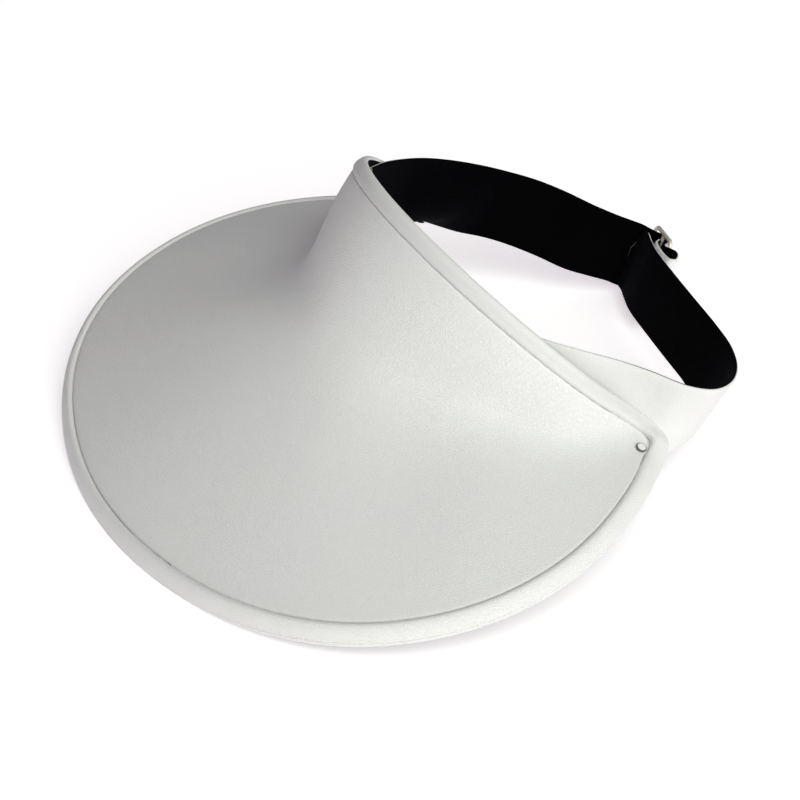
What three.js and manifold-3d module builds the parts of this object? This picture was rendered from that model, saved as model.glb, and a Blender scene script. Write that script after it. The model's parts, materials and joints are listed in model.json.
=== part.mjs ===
// Wide brim sun visor: a moulded panel with a rolled border, a lining, and two head straps that meet in a slider ring.
import * as THREE from 'three';
import { NURBSCurve } from 'three/addons/curves/NURBSCurve.js';
import { mergeVertices } from 'three/addons/utils/BufferGeometryUtils.js';
import Module from 'manifold-3d';

// Millimetres. The visor is drawn with the rim's plane level: +X is the wearer's left, -Y is the front, +Z is up.
const RIM_HALF_WIDTH = 145;
const RIM_HALF_LENGTH = 119.3;
const RIM_SIDE_LIFT = 1.9;
const CORNER_ANGLE = THREE.MathUtils.degToRad(141.0);

const CROWN_SLOPE = THREE.MathUtils.degToRad(52.9);
const CROWN_TOP_AHEAD = 29.4;
const CROWN_TOP_HEIGHT = 91.5;
const CROWN_HALF_WIDTH = 83;
const CROWN_ARCH_DEPTH = 80;
const CROWN_STRAIGHT = 20;
const CROWN_EASE_FROM = 0.7;

const HEAD_TILT = THREE.MathUtils.degToRad(30.47);

const PANEL_WALL = 1.6;
const LINING_WALL = 1.0;
const PIECE_GAP = 0.3;
const SANDWICH = PANEL_WALL + PIECE_GAP + LINING_WALL;

const RIM_BORDER_WIDTH = 6.7;
const CROWN_BORDER_WIDTH = 6.9;
const BORDER_DROP = 3.3;
const BORDER_GAP = 0.4;
const CORNER_EASE = 1.8;
const CORNER_EASE_FROM = 0.88;
const CORNER_REACH = 15;
const CORNER_TIGHTNESS = 3;
const SHORTEST_SECTION = 4.2;

const STRAP_WALL = 1.8;
const LEFT_STRAP_STATIONS = 34;
const RIGHT_STRAP_STATIONS = 46;
const STRAP_STEPS = 4;

const RING_LENGTH = 18.5;
const RING_HEIGHT = 36.4;
const RING_WIRE = 2;
const RING_CORNER = 2.5;
const RING_BEND_STEPS = 3;
const RING_SIDES = 8;

const RIVET_FROM_CROWN = 13.3;
const RIVET_FROM_RIM = 9.5;
const RIVET_CAP = 4.4;
const RIVET_CAP_HEIGHT = 0.9;
const RIVET_CAP_ROUND = 0.4;
const RIVET_STAND = 0.5;
const RIVET_SHAFT = 2.2;
const RIVET_BACK = 6.4;
const RIVET_BACK_HEIGHT = 0.9;
const RIVET_STRAP_DEPTH = 3.9;
const HOLE_CLEARANCE = 0.35;
const HOLE_OVERRUN = 4;
const TURNED_SIDES = 14;

const SECTION_COUNT = 22;
const SECTION_STEPS = 10;
const RIM_STATIONS = 58;
const EDGE_STATIONS = 38;
const CORNER_STATIONS = 6;
const SHARE_STEP = 0.001;
const HALVINGS = 30;
const LENGTH_DIVISIONS = 400;
const SEAT_STEPS = 8;
const MERGE_DISTANCE = 1e-5;

// The fold between brim and crown wall: where the two would meet if the fold were sharp.
// share: way from the front centre (0) to the corner (1).
// brimBend and wallBend: how far the soft bend reaches into the brim and into the wall.
const FOLD_TABLE = [
  { share: 0.00, side: 0, back: -16, height: 41.5, brimBend: 12, wallBend: 13 },
  { share: 0.25, side: 24.5, back: -8, height: 41.2, brimBend: 10, wallBend: 14.5 },
  { share: 0.45, side: 56, back: 14, height: 30.8, brimBend: 8, wallBend: 17 },
  { share: 0.62, side: 70, back: 29, height: 27, brimBend: 8, wallBend: 13 },
  { share: 0.78, side: 86, back: 48, height: 18, brimBend: 11, wallBend: 14 },
  { share: 0.90, side: 89, back: 76, height: 9, brimBend: 20, wallBend: 20 },
  { share: 1.00, side: 88, back: 92, height: 3, brimBend: 20, wallBend: 20 },
];
const LONGEST_BEND_SHARE = 0.35;
const BRIM_CAMBER = 5;
const BRIM_CAMBER_AT = 0.45;
const FULL_BRIM_LENGTH = 90;
const WALL_BULGE = 5;
const WALL_BULGE_AT = 0.62;
const FULL_WALL_LENGTH = 60;

// How much fuller or slimmer than an ellipse the rim is, by angle from the front in degrees.
const RIM_FULLNESS = [
  { angle: 0, out: -1.1 },
  { angle: 20, out: -0.8 },
  { angle: 38, out: 0.5 },
  { angle: 56, out: 1.2 },
  { angle: 78, out: 0.1 },
  { angle: 100, out: -1.1 },
  { angle: 118, out: -1.1 },
  { angle: 129, out: 0.2 },
  { angle: 135, out: 1.4 },
  { angle: 141, out: 4.8 },
];

// Border profiles in the panel's own directions: inward from the outline, and up from the middle of the wall.
// Both start at the groove beside the panel, go over the bead and back along the underside.
const RIM_PROFILE = [
  { inward: RIM_BORDER_WIDTH, up: -SANDWICH / 2 },
  { inward: RIM_BORDER_WIDTH, up: 0.9 },
  { inward: 5.9, up: 1.8 },
  { inward: 4.6, up: 2.1 },
  { inward: 3.0, up: 1.7 },
  { inward: 1.4, up: 0.6 },
  { inward: 0.1, up: -0.9 },
  { inward: -0.8, up: -2.2 },
  { inward: -1.1, up: -3.1 },
  { inward: -0.3, up: -3.9 },
  { inward: 0.9, up: -3.1 },
  { inward: 2.4, up: -1.9 },
];
const CROWN_PROFILE = [
  { inward: CROWN_BORDER_WIDTH, up: -SANDWICH / 2 },
  { inward: CROWN_BORDER_WIDTH, up: 0.9 },
  { inward: 6.2, up: 1.7 },
  { inward: 5.0, up: 2.1 },
  { inward: 3.7, up: 2.0 },
  { inward: 2.4, up: 1.6 },
  { inward: 1.0, up: 0.9 },
  { inward: 0.2, up: 0.0 },
  { inward: 0.0, up: -0.9 },
  { inward: 0.5, up: -1.7 },
  { inward: 1.8, up: -1.9 },
  { inward: 4.0, up: -1.7 },
];

// Straps, outer face, in the head frame (x to the left, y backwards, z along the head): upper and lower edge.
// High and low pull the band between them where it turns out to lie under the panel at the rivet.
const LEFT_STRAP = [
  { upper: [61.5, 5, 77.5], lower: [67, 11, 45.5] },
  { upper: [68.4, 17.8, 76.6], lower: [73.5, 25, 45] },
  { upper: [72.4, 35.1, 75.6], lower: [80.5, 43, 44.6] },
  { upper: [75.6, 53.2, 74.4], high: [77, 54, 66], low: [76.5, 57, 51.5], lower: [89, 56, 44] },
  { upper: [81.2, 67.5, 73.5], high: [79.5, 68.5, 64], low: [76, 73.6, 50.8], lower: [98.8, 64.3, 42.4] },
  { upper: [88.2, 81.0, 73.0], high: [86.2, 81.5, 63], low: [83.5, 82.5, 52], lower: [90, 83.5, 41.6] },
  { upper: [89.0, 93.5, 73.2], lower: [80.5, 99, 41] },
  { upper: [83.0, 106.5, 73.8], lower: [74.5, 108.5, 42] },
  { upper: [71.4, 118.2, 74.7], lower: [66.5, 117.8, 43.5] },
  { upper: [55.6, 127.0, 75.5], lower: [53.5, 125.8, 45] },
  { upper: [39.2, 129.8, 76.2], lower: [38.4, 129.8, 46] },
  { upper: [20.6, 131.4, 76.8], lower: [20.6, 131.4, 46.6] },
  { upper: [1.5, 133.2, 77.3], lower: [1.3, 133.2, 47.2] },
  { upper: [-20, 136.4, 77.6], lower: [-20, 136.6, 47.4] },
  { upper: [-31, 140.0, 77.7], lower: [-31, 140.4, 47.8] },
  { upper: [-38.6, 142.7, 77.7], lower: [-36.6, 142.4, 48.2] },
  { upper: [-42.2, 143.0, 76.2], lower: [-39.4, 142.0, 48.4] },
  { upper: [-43.0, 140.6, 69], lower: [-40.4, 140.2, 48.8] },
];
const RIGHT_STRAP = [
  { upper: [-61.6, 5.6, 78.7], lower: [-67, 11, 45.5] },
  { upper: [-69.8, 17.4, 78.7], lower: [-73.5, 25, 45] },
  { upper: [-76.2, 31, 78.7], lower: [-80.5, 42, 44.8] },
  { upper: [-80.2, 44, 78.7], high: [-79, 46, 68], low: [-76.5, 51.5, 53.5], lower: [-88, 54, 44] },
  { upper: [-82.0, 60, 78.7], high: [-78.5, 64, 66], low: [-75.4, 73.6, 49.4], lower: [-98.8, 64.3, 41.8] },
  { upper: [-81.8, 75, 78.7], high: [-80.5, 76.5, 67], low: [-79, 79.5, 54], lower: [-89.5, 82, 42.4] },
  { upper: [-80.0, 87, 78.7], lower: [-81.4, 90.5, 44.6] },
  { upper: [-75.4, 101.5, 78.7], lower: [-75.0, 99.5, 45.7] },
  { upper: [-67.6, 113.2, 78.7], lower: [-66.4, 111.2, 46] },
  { upper: [-57.2, 123.6, 78.7], lower: [-56.8, 122.4, 46] },
  { upper: [-50.8, 132.3, 78.7], lower: [-51.6, 131.8, 46.8] },
  { upper: [-47.4, 139.6, 78.5], lower: [-47.6, 139.8, 47.4] },
  { upper: [-45.6, 143.4, 78.4], lower: [-45.6, 143.4, 47.2] },
  { upper: [-43.6, 146.4, 78], lower: [-43.6, 146.4, 47.3] },
  { upper: [-40.2, 149.4, 78], lower: [-40.2, 149.4, 47.3] },
  { upper: [-37.6, 152.6, 78], lower: [-37.6, 152.6, 47.3] },
  { upper: [-34.6, 153.6, 78], lower: [-34.6, 153.6, 47.3] },
  { upper: [-31.4, 151.4, 78], lower: [-31.4, 151.4, 47.3] },
  { upper: [-28.9, 147.6, 78], lower: [-28.9, 147.6, 47.3] },
  { upper: [-26.6, 145, 78], lower: [-26.6, 145, 47.3] },
  { upper: [-23.6, 145, 78.8], lower: [-23.6, 145, 47.2] },
  { upper: [-20.4, 146.0, 79.3], lower: [-20.4, 146.0, 47.6] },
  { upper: [-17.0, 145.0, 79.5], lower: [-17.0, 145.0, 47.8] },
  { upper: [-13.4, 142.4, 79.5], lower: [-13.4, 142.4, 47.8] },
  { upper: [-11.2, 139.6, 79.2], lower: [-11.2, 139.6, 47.6] },
  { upper: [-12.4, 137.2, 78.7], lower: [-12.4, 137.2, 47.4] },
  { upper: [-16.6, 137.1, 78.2], lower: [-16.6, 137.1, 47.2] },
  { upper: [-22, 138.1, 78], lower: [-22, 138.1, 47.2] },
  { upper: [-27, 139.6, 78], lower: [-27, 139.6, 47.2] },
  { upper: [-30.6, 141.6, 78], lower: [-30.6, 141.6, 47.2] },
  { upper: [-33, 144.4, 78], lower: [-33, 144.4, 47.2] },
];
const RING_SEAT = { side: -34.2, back: 148.0, height: 62.6, turn: THREE.MathUtils.degToRad(-9.9) };

// Pose at rest on the floor: the front of the rim and the lower edge of the strap's loop at the back carry the visor.
const REST_PITCH = THREE.MathUtils.degToRad(7.41);
const REST_LEAN = THREE.MathUtils.degToRad(1.84);

const FINISHES = {
  whiteKnit: { color: 0xe9e8e6, roughness: 0.85, metalness: 0 },
  blackKnit: { color: 0x0c0c0e, roughness: 0.9, metalness: 0 },
  pearlMetal: { color: 0xd9d2c6, roughness: 0.3, metalness: 1 },
};

const wasm = await Module();
wasm.setup();

/** Value between the rows of a table, smooth over four rows. */
function tableValue(table, key, value, at) {
  const last = table.length - 1;
  let i = 0;
  while (i < last - 1 && table[i + 1][key] < at) {
    i += 1;
  }
  const from = table[i];
  const to = table[i + 1];
  const slope = (k) => {
    const before = table[Math.max(k - 1, 0)];
    const after = table[Math.min(k + 1, last)];
    return k === 0 ? 0 : (after[value] - before[value]) / (after[key] - before[key]);
  };
  const span = to[key] - from[key];
  const t = (at - from[key]) / span;
  const t2 = t * t;
  const t3 = t2 * t;
  return (2 * t3 - 3 * t2 + 1) * from[value] + (t3 - 2 * t2 + t) * span * slope(i)
    + (-2 * t3 + 3 * t2) * to[value] + (t3 - t2) * span * slope(i + 1);
}

/** Point on the rim's outline at the level of the panel, from the front centre (0) to the corner (1 or -1). */
function rimPoint(share) {
  const angle = share * CORNER_ANGLE;
  const out = tableValue(RIM_FULLNESS, 'angle', 'out', THREE.MathUtils.radToDeg(Math.abs(angle)));
  const outward = new THREE.Vector2(RIM_HALF_LENGTH * Math.sin(angle), -RIM_HALF_WIDTH * Math.cos(angle)).normalize();
  return new THREE.Vector3(
    RIM_HALF_WIDTH * Math.sin(angle) + out * outward.x,
    -RIM_HALF_LENGTH * Math.cos(angle) + out * outward.y,
    BORDER_DROP + RIM_SIDE_LIFT * Math.sin(angle) ** 2,
  );
}

const CORNER = rimPoint(1);

/** Half of the crown's upper edge in its own sloping plane: sideways, and down the slope. */
function crownEdgeOutline() {
  const cornerDrop = (CROWN_TOP_HEIGHT - CORNER.z) / Math.sin(CROWN_SLOPE);
  const arch = new THREE.EllipseCurve(0, CROWN_ARCH_DEPTH, CROWN_HALF_WIDTH, CROWN_ARCH_DEPTH, -Math.PI / 2, 0);
  const path = new THREE.CurvePath();
  path.add(arch);
  path.add(new THREE.QuadraticBezierCurve(
    new THREE.Vector2(CROWN_HALF_WIDTH, CROWN_ARCH_DEPTH),
    new THREE.Vector2(CROWN_HALF_WIDTH, CROWN_ARCH_DEPTH + CROWN_STRAIGHT),
    new THREE.Vector2(CORNER.x, cornerDrop),
  ));
  return path;
}

const EDGE_OUTLINE = crownEdgeOutline();
const EDGE_END = EDGE_OUTLINE.getPointAt(1);
const EDGE_MISS = CORNER.y - (CROWN_TOP_AHEAD + EDGE_END.y * Math.cos(CROWN_SLOPE));

/** Point on the crown's upper edge, from the front centre (0) to the corner (1 or -1). */
function edgePoint(share) {
  const size = Math.min(Math.abs(share), 1);
  const flat = EDGE_OUTLINE.getPointAt(size);
  const toCorner = Math.max(0, (size - CROWN_EASE_FROM) / (1 - CROWN_EASE_FROM)) ** 2;
  return new THREE.Vector3(
    Math.sign(share || 1) * flat.x,
    CROWN_TOP_AHEAD + flat.y * Math.cos(CROWN_SLOPE) + EDGE_MISS * toCorner,
    CROWN_TOP_HEIGHT - flat.y * Math.sin(CROWN_SLOPE),
  );
}

const FOLD_ROWS = [
  ...FOLD_TABLE.slice(1).reverse().map((row) => ({ ...row, share: -row.share, side: -row.side })),
  ...FOLD_TABLE,
];
const FOLD_CURVE = new THREE.CatmullRomCurve3(
  FOLD_ROWS.map((row) => new THREE.Vector3(row.side, row.back, row.height)), false, 'centripetal');

/** The fold's control point for one section, and how far the bend reaches to either side of it. */
function foldAt(share) {
  const index = Math.max(FOLD_ROWS.findIndex((row) => row.share >= share), 1);
  const from = FOLD_ROWS[index - 1];
  const to = FOLD_ROWS[index];
  const local = (share - from.share) / (to.share - from.share);
  return {
    fold: FOLD_CURVE.getPoint((index - 1 + local) / (FOLD_ROWS.length - 1)),
    brimBend: THREE.MathUtils.lerp(from.brimBend, to.brimBend, local),
    wallBend: THREE.MathUtils.lerp(from.wallBend, to.wallBend, local),
  };
}

/** Section curve of the panel's middle surface from the rim's outline to the crown's upper edge. */
function sectionCurve(share) {
  const rim = rimPoint(share);
  const edge = edgePoint(share);
  const { fold, brimBend, wallBend } = foldAt(share);
  const brimLength = rim.distanceTo(fold);
  const wallLength = edge.distanceTo(fold);
  const brimShare = Math.min(brimBend / brimLength, LONGEST_BEND_SHARE);
  const wallShare = Math.min(wallBend / wallLength, LONGEST_BEND_SHARE);
  const camber = BRIM_CAMBER * Math.min(1, brimLength / FULL_BRIM_LENGTH);
  const bulge = WALL_BULGE * Math.min(1, wallLength / FULL_WALL_LENGTH);
  const along = new THREE.Vector3().subVectors(fold, rim).normalize();
  const wallAlong = new THREE.Vector3().subVectors(edge, fold).normalize();
  const around = new THREE.Vector3().crossVectors(along, wallAlong).normalize();
  const brimUp = new THREE.Vector3().crossVectors(around, along);
  const wallOut = new THREE.Vector3().crossVectors(around, wallAlong);
  const brimMiddle = rim.clone().lerp(fold, BRIM_CAMBER_AT).addScaledVector(brimUp, camber);
  const wallMiddle = fold.clone().lerp(edge, WALL_BULGE_AT).addScaledVector(wallOut, bulge);
  const points = [
    rim,
    brimMiddle,
    fold.clone().lerp(rim, brimShare),
    fold.clone().lerp(edge, wallShare),
    wallMiddle,
    edge,
  ];
  const knots = [0, 0, 0, 0, 1, 2, 3, 3, 3, 3];
  return new NURBSCurve(3, knots, points.map((p) => new THREE.Vector4(p.x, p.y, p.z, 1)));
}

/** Distance along the section that stands for one distance square to the outline. */
function insetAlong(curve, atRim, outlineTangent, distance) {
  const direction = curve.getTangentAt(atRim ? 0 : 1);
  const sine = new THREE.Vector3().crossVectors(direction, outlineTangent).length();
  return distance / sine;
}

/** Tangent of an outline function at one share. */
function outlineTangent(pointAt, share) {
  const low = Math.max(share - 2 * SHARE_STEP, -1);
  const high = Math.min(share + 2 * SHARE_STEP, 1);
  return new THREE.Vector3().subVectors(pointAt(high), pointAt(low)).normalize();
}

/** One row of the panel's middle surface, inset from both outlines by the border's width. */
function panelRow(share) {
  const curve = sectionCurve(share);
  curve.arcLengthDivisions = LENGTH_DIVISIONS;
  const length = curve.getLength();
  const ease = CORNER_EASE * Math.max(0, (Math.abs(share) - CORNER_EASE_FROM) / (1 - CORNER_EASE_FROM));
  const gap = BORDER_GAP + ease;
  const rimInset = insetAlong(curve, true, outlineTangent(rimPoint, share), RIM_BORDER_WIDTH + gap);
  const edgeInset = insetAlong(curve, false, outlineTangent(edgePoint, share), CROWN_BORDER_WIDTH + gap);
  const start = rimInset / length;
  const end = 1 - edgeInset / length;
  const row = [];
  for (let j = 0; j <= SECTION_STEPS; j += 1) {
    row.push(curve.getPointAt(THREE.MathUtils.lerp(start, end, j / SECTION_STEPS)));
  }
  return { row, length: (end - start) * length };
}

/** Largest share at which the inset panel still has a section. */
function lastShare() {
  let low = CORNER_EASE_FROM;
  let high = 1 - SHARE_STEP;
  for (let i = 0; i < HALVINGS; i += 1) {
    const middle = (low + high) / 2;
    if (panelRow(middle).length > SHORTEST_SECTION) {
      low = middle;
    } else {
      high = middle;
    }
  }
  return low;
}

/** Normals of a grid of points, by the cross product of its two directions. */
function gridNormals(grid) {
  const rows = grid.length;
  const columns = grid[0].length;
  return grid.map((row, i) => row.map((_, j) => {
    const alongRow = new THREE.Vector3().subVectors(grid[i][Math.min(j + 1, columns - 1)], grid[i][Math.max(j - 1, 0)]);
    const acrossRow = new THREE.Vector3().subVectors(grid[Math.min(i + 1, rows - 1)][j], grid[Math.max(i - 1, 0)][j]);
    return new THREE.Vector3().crossVectors(acrossRow, alongRow).normalize();
  }));
}

/** Grid moved along its normals. */
function offsetGrid(grid, normals, distance) {
  return grid.map((row, i) => row.map((p, j) => p.clone().addScaledVector(normals[i][j], distance)));
}

/** Closed body between two grids of the same size; the first faces along the grid's normals. */
function bodyBetween(front, back) {
  const rows = front.length;
  const columns = front[0].length;
  const positions = [];
  const index = [];
  for (const sheet of [front, back]) {
    for (const row of sheet) {
      for (const p of row) {
        positions.push(p.x, p.y, p.z);
      }
    }
  }
  const at = (side, i, j) => side * rows * columns + i * columns + j;
  const quad = (a, b, c, d) => index.push(a, b, c, a, c, d);
  for (let i = 0; i < rows - 1; i += 1) {
    for (let j = 0; j < columns - 1; j += 1) {
      quad(at(0, i, j), at(0, i + 1, j), at(0, i + 1, j + 1), at(0, i, j + 1));
      quad(at(1, i, j), at(1, i, j + 1), at(1, i + 1, j + 1), at(1, i + 1, j));
    }
  }
  for (let i = 0; i < rows - 1; i += 1) {
    quad(at(0, i, 0), at(1, i, 0), at(1, i + 1, 0), at(0, i + 1, 0));
    quad(at(0, i, columns - 1), at(0, i + 1, columns - 1), at(1, i + 1, columns - 1), at(1, i, columns - 1));
  }
  for (let j = 0; j < columns - 1; j += 1) {
    quad(at(0, 0, j), at(0, 0, j + 1), at(1, 0, j + 1), at(1, 0, j));
    quad(at(0, rows - 1, j), at(1, rows - 1, j), at(1, rows - 1, j + 1), at(0, rows - 1, j + 1));
  }
  const geometry = new THREE.BufferGeometry();
  geometry.setAttribute('position', new THREE.Float32BufferAttribute(positions, 3));
  geometry.setIndex(index);
  return geometry;
}

/** Closed ring swept round a loop of stations, each a list of profile points. */
function loopBody(stations) {
  const count = stations.length;
  const size = stations[0].length;
  const positions = stations.flatMap((profile) => profile.flatMap((p) => [p.x, p.y, p.z]));
  const index = [];
  for (let i = 0; i < count; i += 1) {
    const next = (i + 1) % count;
    for (let j = 0; j < size; j += 1) {
      const k = (j + 1) % size;
      const a = i * size + j;
      const b = next * size + j;
      const c = next * size + k;
      const d = i * size + k;
      index.push(a, b, c, a, c, d);
    }
  }
  const geometry = new THREE.BufferGeometry();
  geometry.setAttribute('position', new THREE.Float32BufferAttribute(positions, 3));
  geometry.setIndex(index);
  return geometry;
}

/** Turns a geometry into a manifold body, facing out. */
function toManifold(source) {
  let geometry = source.clone();
  geometry.deleteAttribute('normal');
  geometry.deleteAttribute('uv');
  geometry = mergeVertices(geometry, MERGE_DISTANCE);
  const vertProperties = Float32Array.from(geometry.attributes.position.array);
  const triVerts = Uint32Array.from(geometry.index.array);
  let volume = 0;
  const a = new THREE.Vector3();
  const b = new THREE.Vector3();
  const c = new THREE.Vector3();
  for (let t = 0; t < triVerts.length; t += 3) {
    a.fromArray(vertProperties, triVerts[t] * 3);
    b.fromArray(vertProperties, triVerts[t + 1] * 3);
    c.fromArray(vertProperties, triVerts[t + 2] * 3);
    volume += a.dot(b.cross(c)) / 6;
  }
  if (volume < 0) {
    for (let t = 0; t < triVerts.length; t += 3) {
      [triVerts[t + 1], triVerts[t + 2]] = [triVerts[t + 2], triVerts[t + 1]];
    }
  }
  return new wasm.Manifold(new wasm.Mesh({ numProp: 3, vertProperties, triVerts }));
}

/** Turns a manifold body back into a geometry. */
function toGeometry(body) {
  const mesh = body.getMesh();
  const geometry = new THREE.BufferGeometry();
  geometry.setAttribute('position', new THREE.Float32BufferAttribute(mesh.vertProperties, 3));
  geometry.setIndex(new THREE.Uint32BufferAttribute(mesh.triVerts, 1));
  geometry.computeVertexNormals();
  return geometry;
}

/** Body turned about a line: its profile gives radii and heights along the line from a seat. */
function turned(seat, axis, profile) {
  const geometry = new THREE.LatheGeometry(profile.map(([radius, height]) => new THREE.Vector2(radius, height)), TURNED_SIDES);
  geometry.applyQuaternion(new THREE.Quaternion().setFromUnitVectors(new THREE.Vector3(0, 1, 0), axis));
  geometry.translate(seat.x, seat.y, seat.z);
  return toManifold(geometry);
}

/** Straight pin about a line, from one height to another. */
function pin(seat, axis, diameter, from, to) {
  const radius = diameter / 2;
  return turned(seat, axis, [[0, from], [radius, from], [radius, to], [0, to]]);
}

/** Frame of the outline at the rim or at the crown edge: point, inward direction and surface normal. */
function outlineFrame(share, atRim) {
  const curve = sectionCurve(share);
  const pointAt = atRim ? rimPoint : edgePoint;
  const tangent = outlineTangent(pointAt, share);
  const section = curve.getTangentAt(atRim ? 0 : 1);
  const normal = new THREE.Vector3().crossVectors(tangent, section).normalize();
  const inward = section.clone().multiplyScalar(atRim ? 1 : -1);
  inward.addScaledVector(tangent, -inward.dot(tangent)).normalize();
  return { point: pointAt(share), inward, normal };
}

/** Share of an outline at which a distance is left to the corner. */
function shareBeforeCorner(pointAt, distance) {
  let share = 1;
  while (pointAt(share).distanceTo(CORNER) < distance) {
    share -= SHARE_STEP;
  }
  return share;
}

/** Border profile placed in one frame of the outline. */
function placedProfile(frame, profile) {
  return profile.map((row) => frame.point.clone()
    .addScaledVector(frame.inward, row.inward)
    .addScaledVector(frame.normal, row.up));
}

/** Stations round one corner: each profile point runs past the place where its two straight lines would meet. */
function cornerStations(side, rimShare, edgeShare) {
  const from = outlineFrame(side * rimShare, true);
  const to = outlineFrame(side * edgeShare, false);
  const corner = new THREE.Vector3(side * CORNER.x, CORNER.y, CORNER.z);
  const alongRim = from.point.clone().sub(corner).normalize();
  const alongEdge = to.point.clone().sub(corner).normalize();
  const sine = new THREE.Vector3().crossVectors(alongRim, alongEdge).length();
  const normal = from.normal.clone().add(to.normal).normalize();
  const start = placedProfile(from, RIM_PROFILE);
  const finish = placedProfile(to, CROWN_PROFILE);
  const paths = start.map((point, k) => {
    const pull = corner.clone()
      .addScaledVector(alongRim, CROWN_PROFILE[k].inward / sine)
      .addScaledVector(alongEdge, RIM_PROFILE[k].inward / sine)
      .addScaledVector(normal, (RIM_PROFILE[k].up + CROWN_PROFILE[k].up) / 2);
    return new NURBSCurve(2, [0, 0, 0, 1, 1, 1], [
      new THREE.Vector4(point.x, point.y, point.z, 1),
      new THREE.Vector4(pull.x, pull.y, pull.z, CORNER_TIGHTNESS),
      new THREE.Vector4(finish[k].x, finish[k].y, finish[k].z, 1),
    ]);
  });
  const stations = [];
  for (let i = 1; i <= CORNER_STATIONS; i += 1) {
    stations.push(paths.map((path) => path.getPoint(i / (CORNER_STATIONS + 1))));
  }
  return stations;
}

/** Border round the whole outline: the rim from right to left, the left corner, the crown edge, the right corner. */
function borderBody() {
  const rimShare = shareBeforeCorner(rimPoint, CORNER_REACH);
  const edgeShare = shareBeforeCorner(edgePoint, CORNER_REACH);
  const stations = [];
  for (let i = 0; i <= RIM_STATIONS; i += 1) {
    const share = THREE.MathUtils.lerp(-rimShare, rimShare, i / RIM_STATIONS);
    stations.push(placedProfile(outlineFrame(share, true), RIM_PROFILE));
  }
  stations.push(...cornerStations(1, rimShare, edgeShare));
  for (let i = 0; i <= EDGE_STATIONS; i += 1) {
    const share = THREE.MathUtils.lerp(edgeShare, -edgeShare, i / EDGE_STATIONS);
    stations.push(placedProfile(outlineFrame(share, false), CROWN_PROFILE));
  }
  stations.push(...cornerStations(-1, rimShare, edgeShare).reverse());
  return toManifold(loopBody(stations));
}

/** Middle surface of the panel as a grid, from the right corner to the left one. */
function panelGrid() {
  const last = lastShare();
  const grid = [];
  for (let i = -SECTION_COUNT; i <= SECTION_COUNT; i += 1) {
    grid.push(panelRow((i / SECTION_COUNT) * last).row);
  }
  return grid;
}

/** The four lines across a strap in one row of its table: straight between the edges unless it is pulled. */
function strapLines(row) {
  const upper = new THREE.Vector3(...row.upper);
  const lower = new THREE.Vector3(...row.lower);
  const high = row.high ? new THREE.Vector3(...row.high) : upper.clone().lerp(lower, 1 / 3);
  const low = row.low ? new THREE.Vector3(...row.low) : upper.clone().lerp(lower, 2 / 3);
  return [upper, high, low, lower];
}

/** A strap's outer face as a grid. */
function strapGrid(table, stations) {
  const rows = table.map(strapLines);
  const lines = [0, 1, 2, 3].map((k) => new THREE.CatmullRomCurve3(rows.map((row) => row[k]), false, 'centripetal'));
  const grid = [];
  for (let i = 0; i <= stations; i += 1) {
    const across = new THREE.CubicBezierCurve3(...lines.map((line) => line.getPoint(i / stations)));
    const row = [];
    for (let j = 0; j <= STRAP_STEPS; j += 1) {
      row.push(across.getPoint(j / STRAP_STEPS));
    }
    grid.push(row);
  }
  return grid;
}

/** One strap as a closed body: its wall lies on the side of its outer face that faces the head. */
function strapBody(table, stations) {
  const grid = strapGrid(table, stations);
  const normals = gridNormals(grid);
  const templeRow = Math.floor(grid.length / 4);
  const away = normals[templeRow][0].x * grid[templeRow][0].x > 0 ? -1 : 1;
  return toManifold(bodyBetween(grid, offsetGrid(grid, normals, away * STRAP_WALL)));
}

/** Slider: round wire bent to a rounded rectangle, with a bar up its middle that the strap goes round. */
function sliderBody() {
  const halfLength = (RING_LENGTH - RING_WIRE) / 2;
  const halfHeight = (RING_HEIGHT - RING_WIRE) / 2;
  const centres = [
    { x: halfLength - RING_CORNER, z: halfHeight - RING_CORNER, start: 0 },
    { x: -halfLength + RING_CORNER, z: halfHeight - RING_CORNER, start: Math.PI / 2 },
    { x: -halfLength + RING_CORNER, z: -halfHeight + RING_CORNER, start: Math.PI },
    { x: halfLength - RING_CORNER, z: -halfHeight + RING_CORNER, start: 1.5 * Math.PI },
  ];
  const stations = [];
  for (const centre of centres) {
    for (let i = 0; i <= RING_BEND_STEPS; i += 1) {
      const angle = centre.start + (i / RING_BEND_STEPS) * (Math.PI / 2);
      const outward = new THREE.Vector3(Math.cos(angle), 0, Math.sin(angle));
      const point = new THREE.Vector3(centre.x, 0, centre.z).addScaledVector(outward, RING_CORNER);
      const profile = [];
      for (let j = 0; j < RING_SIDES; j += 1) {
        const turn = (j / RING_SIDES) * 2 * Math.PI;
        profile.push(point.clone()
          .addScaledVector(outward, (RING_WIRE / 2) * Math.cos(turn))
          .add(new THREE.Vector3(0, (RING_WIRE / 2) * Math.sin(turn), 0)));
      }
      stations.push(profile);
    }
  }
  const bar = pin(new THREE.Vector3(), new THREE.Vector3(0, 0, 1), RING_WIRE, -halfHeight, halfHeight);
  return toManifold(loopBody(stations)).add(bar);
}

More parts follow.
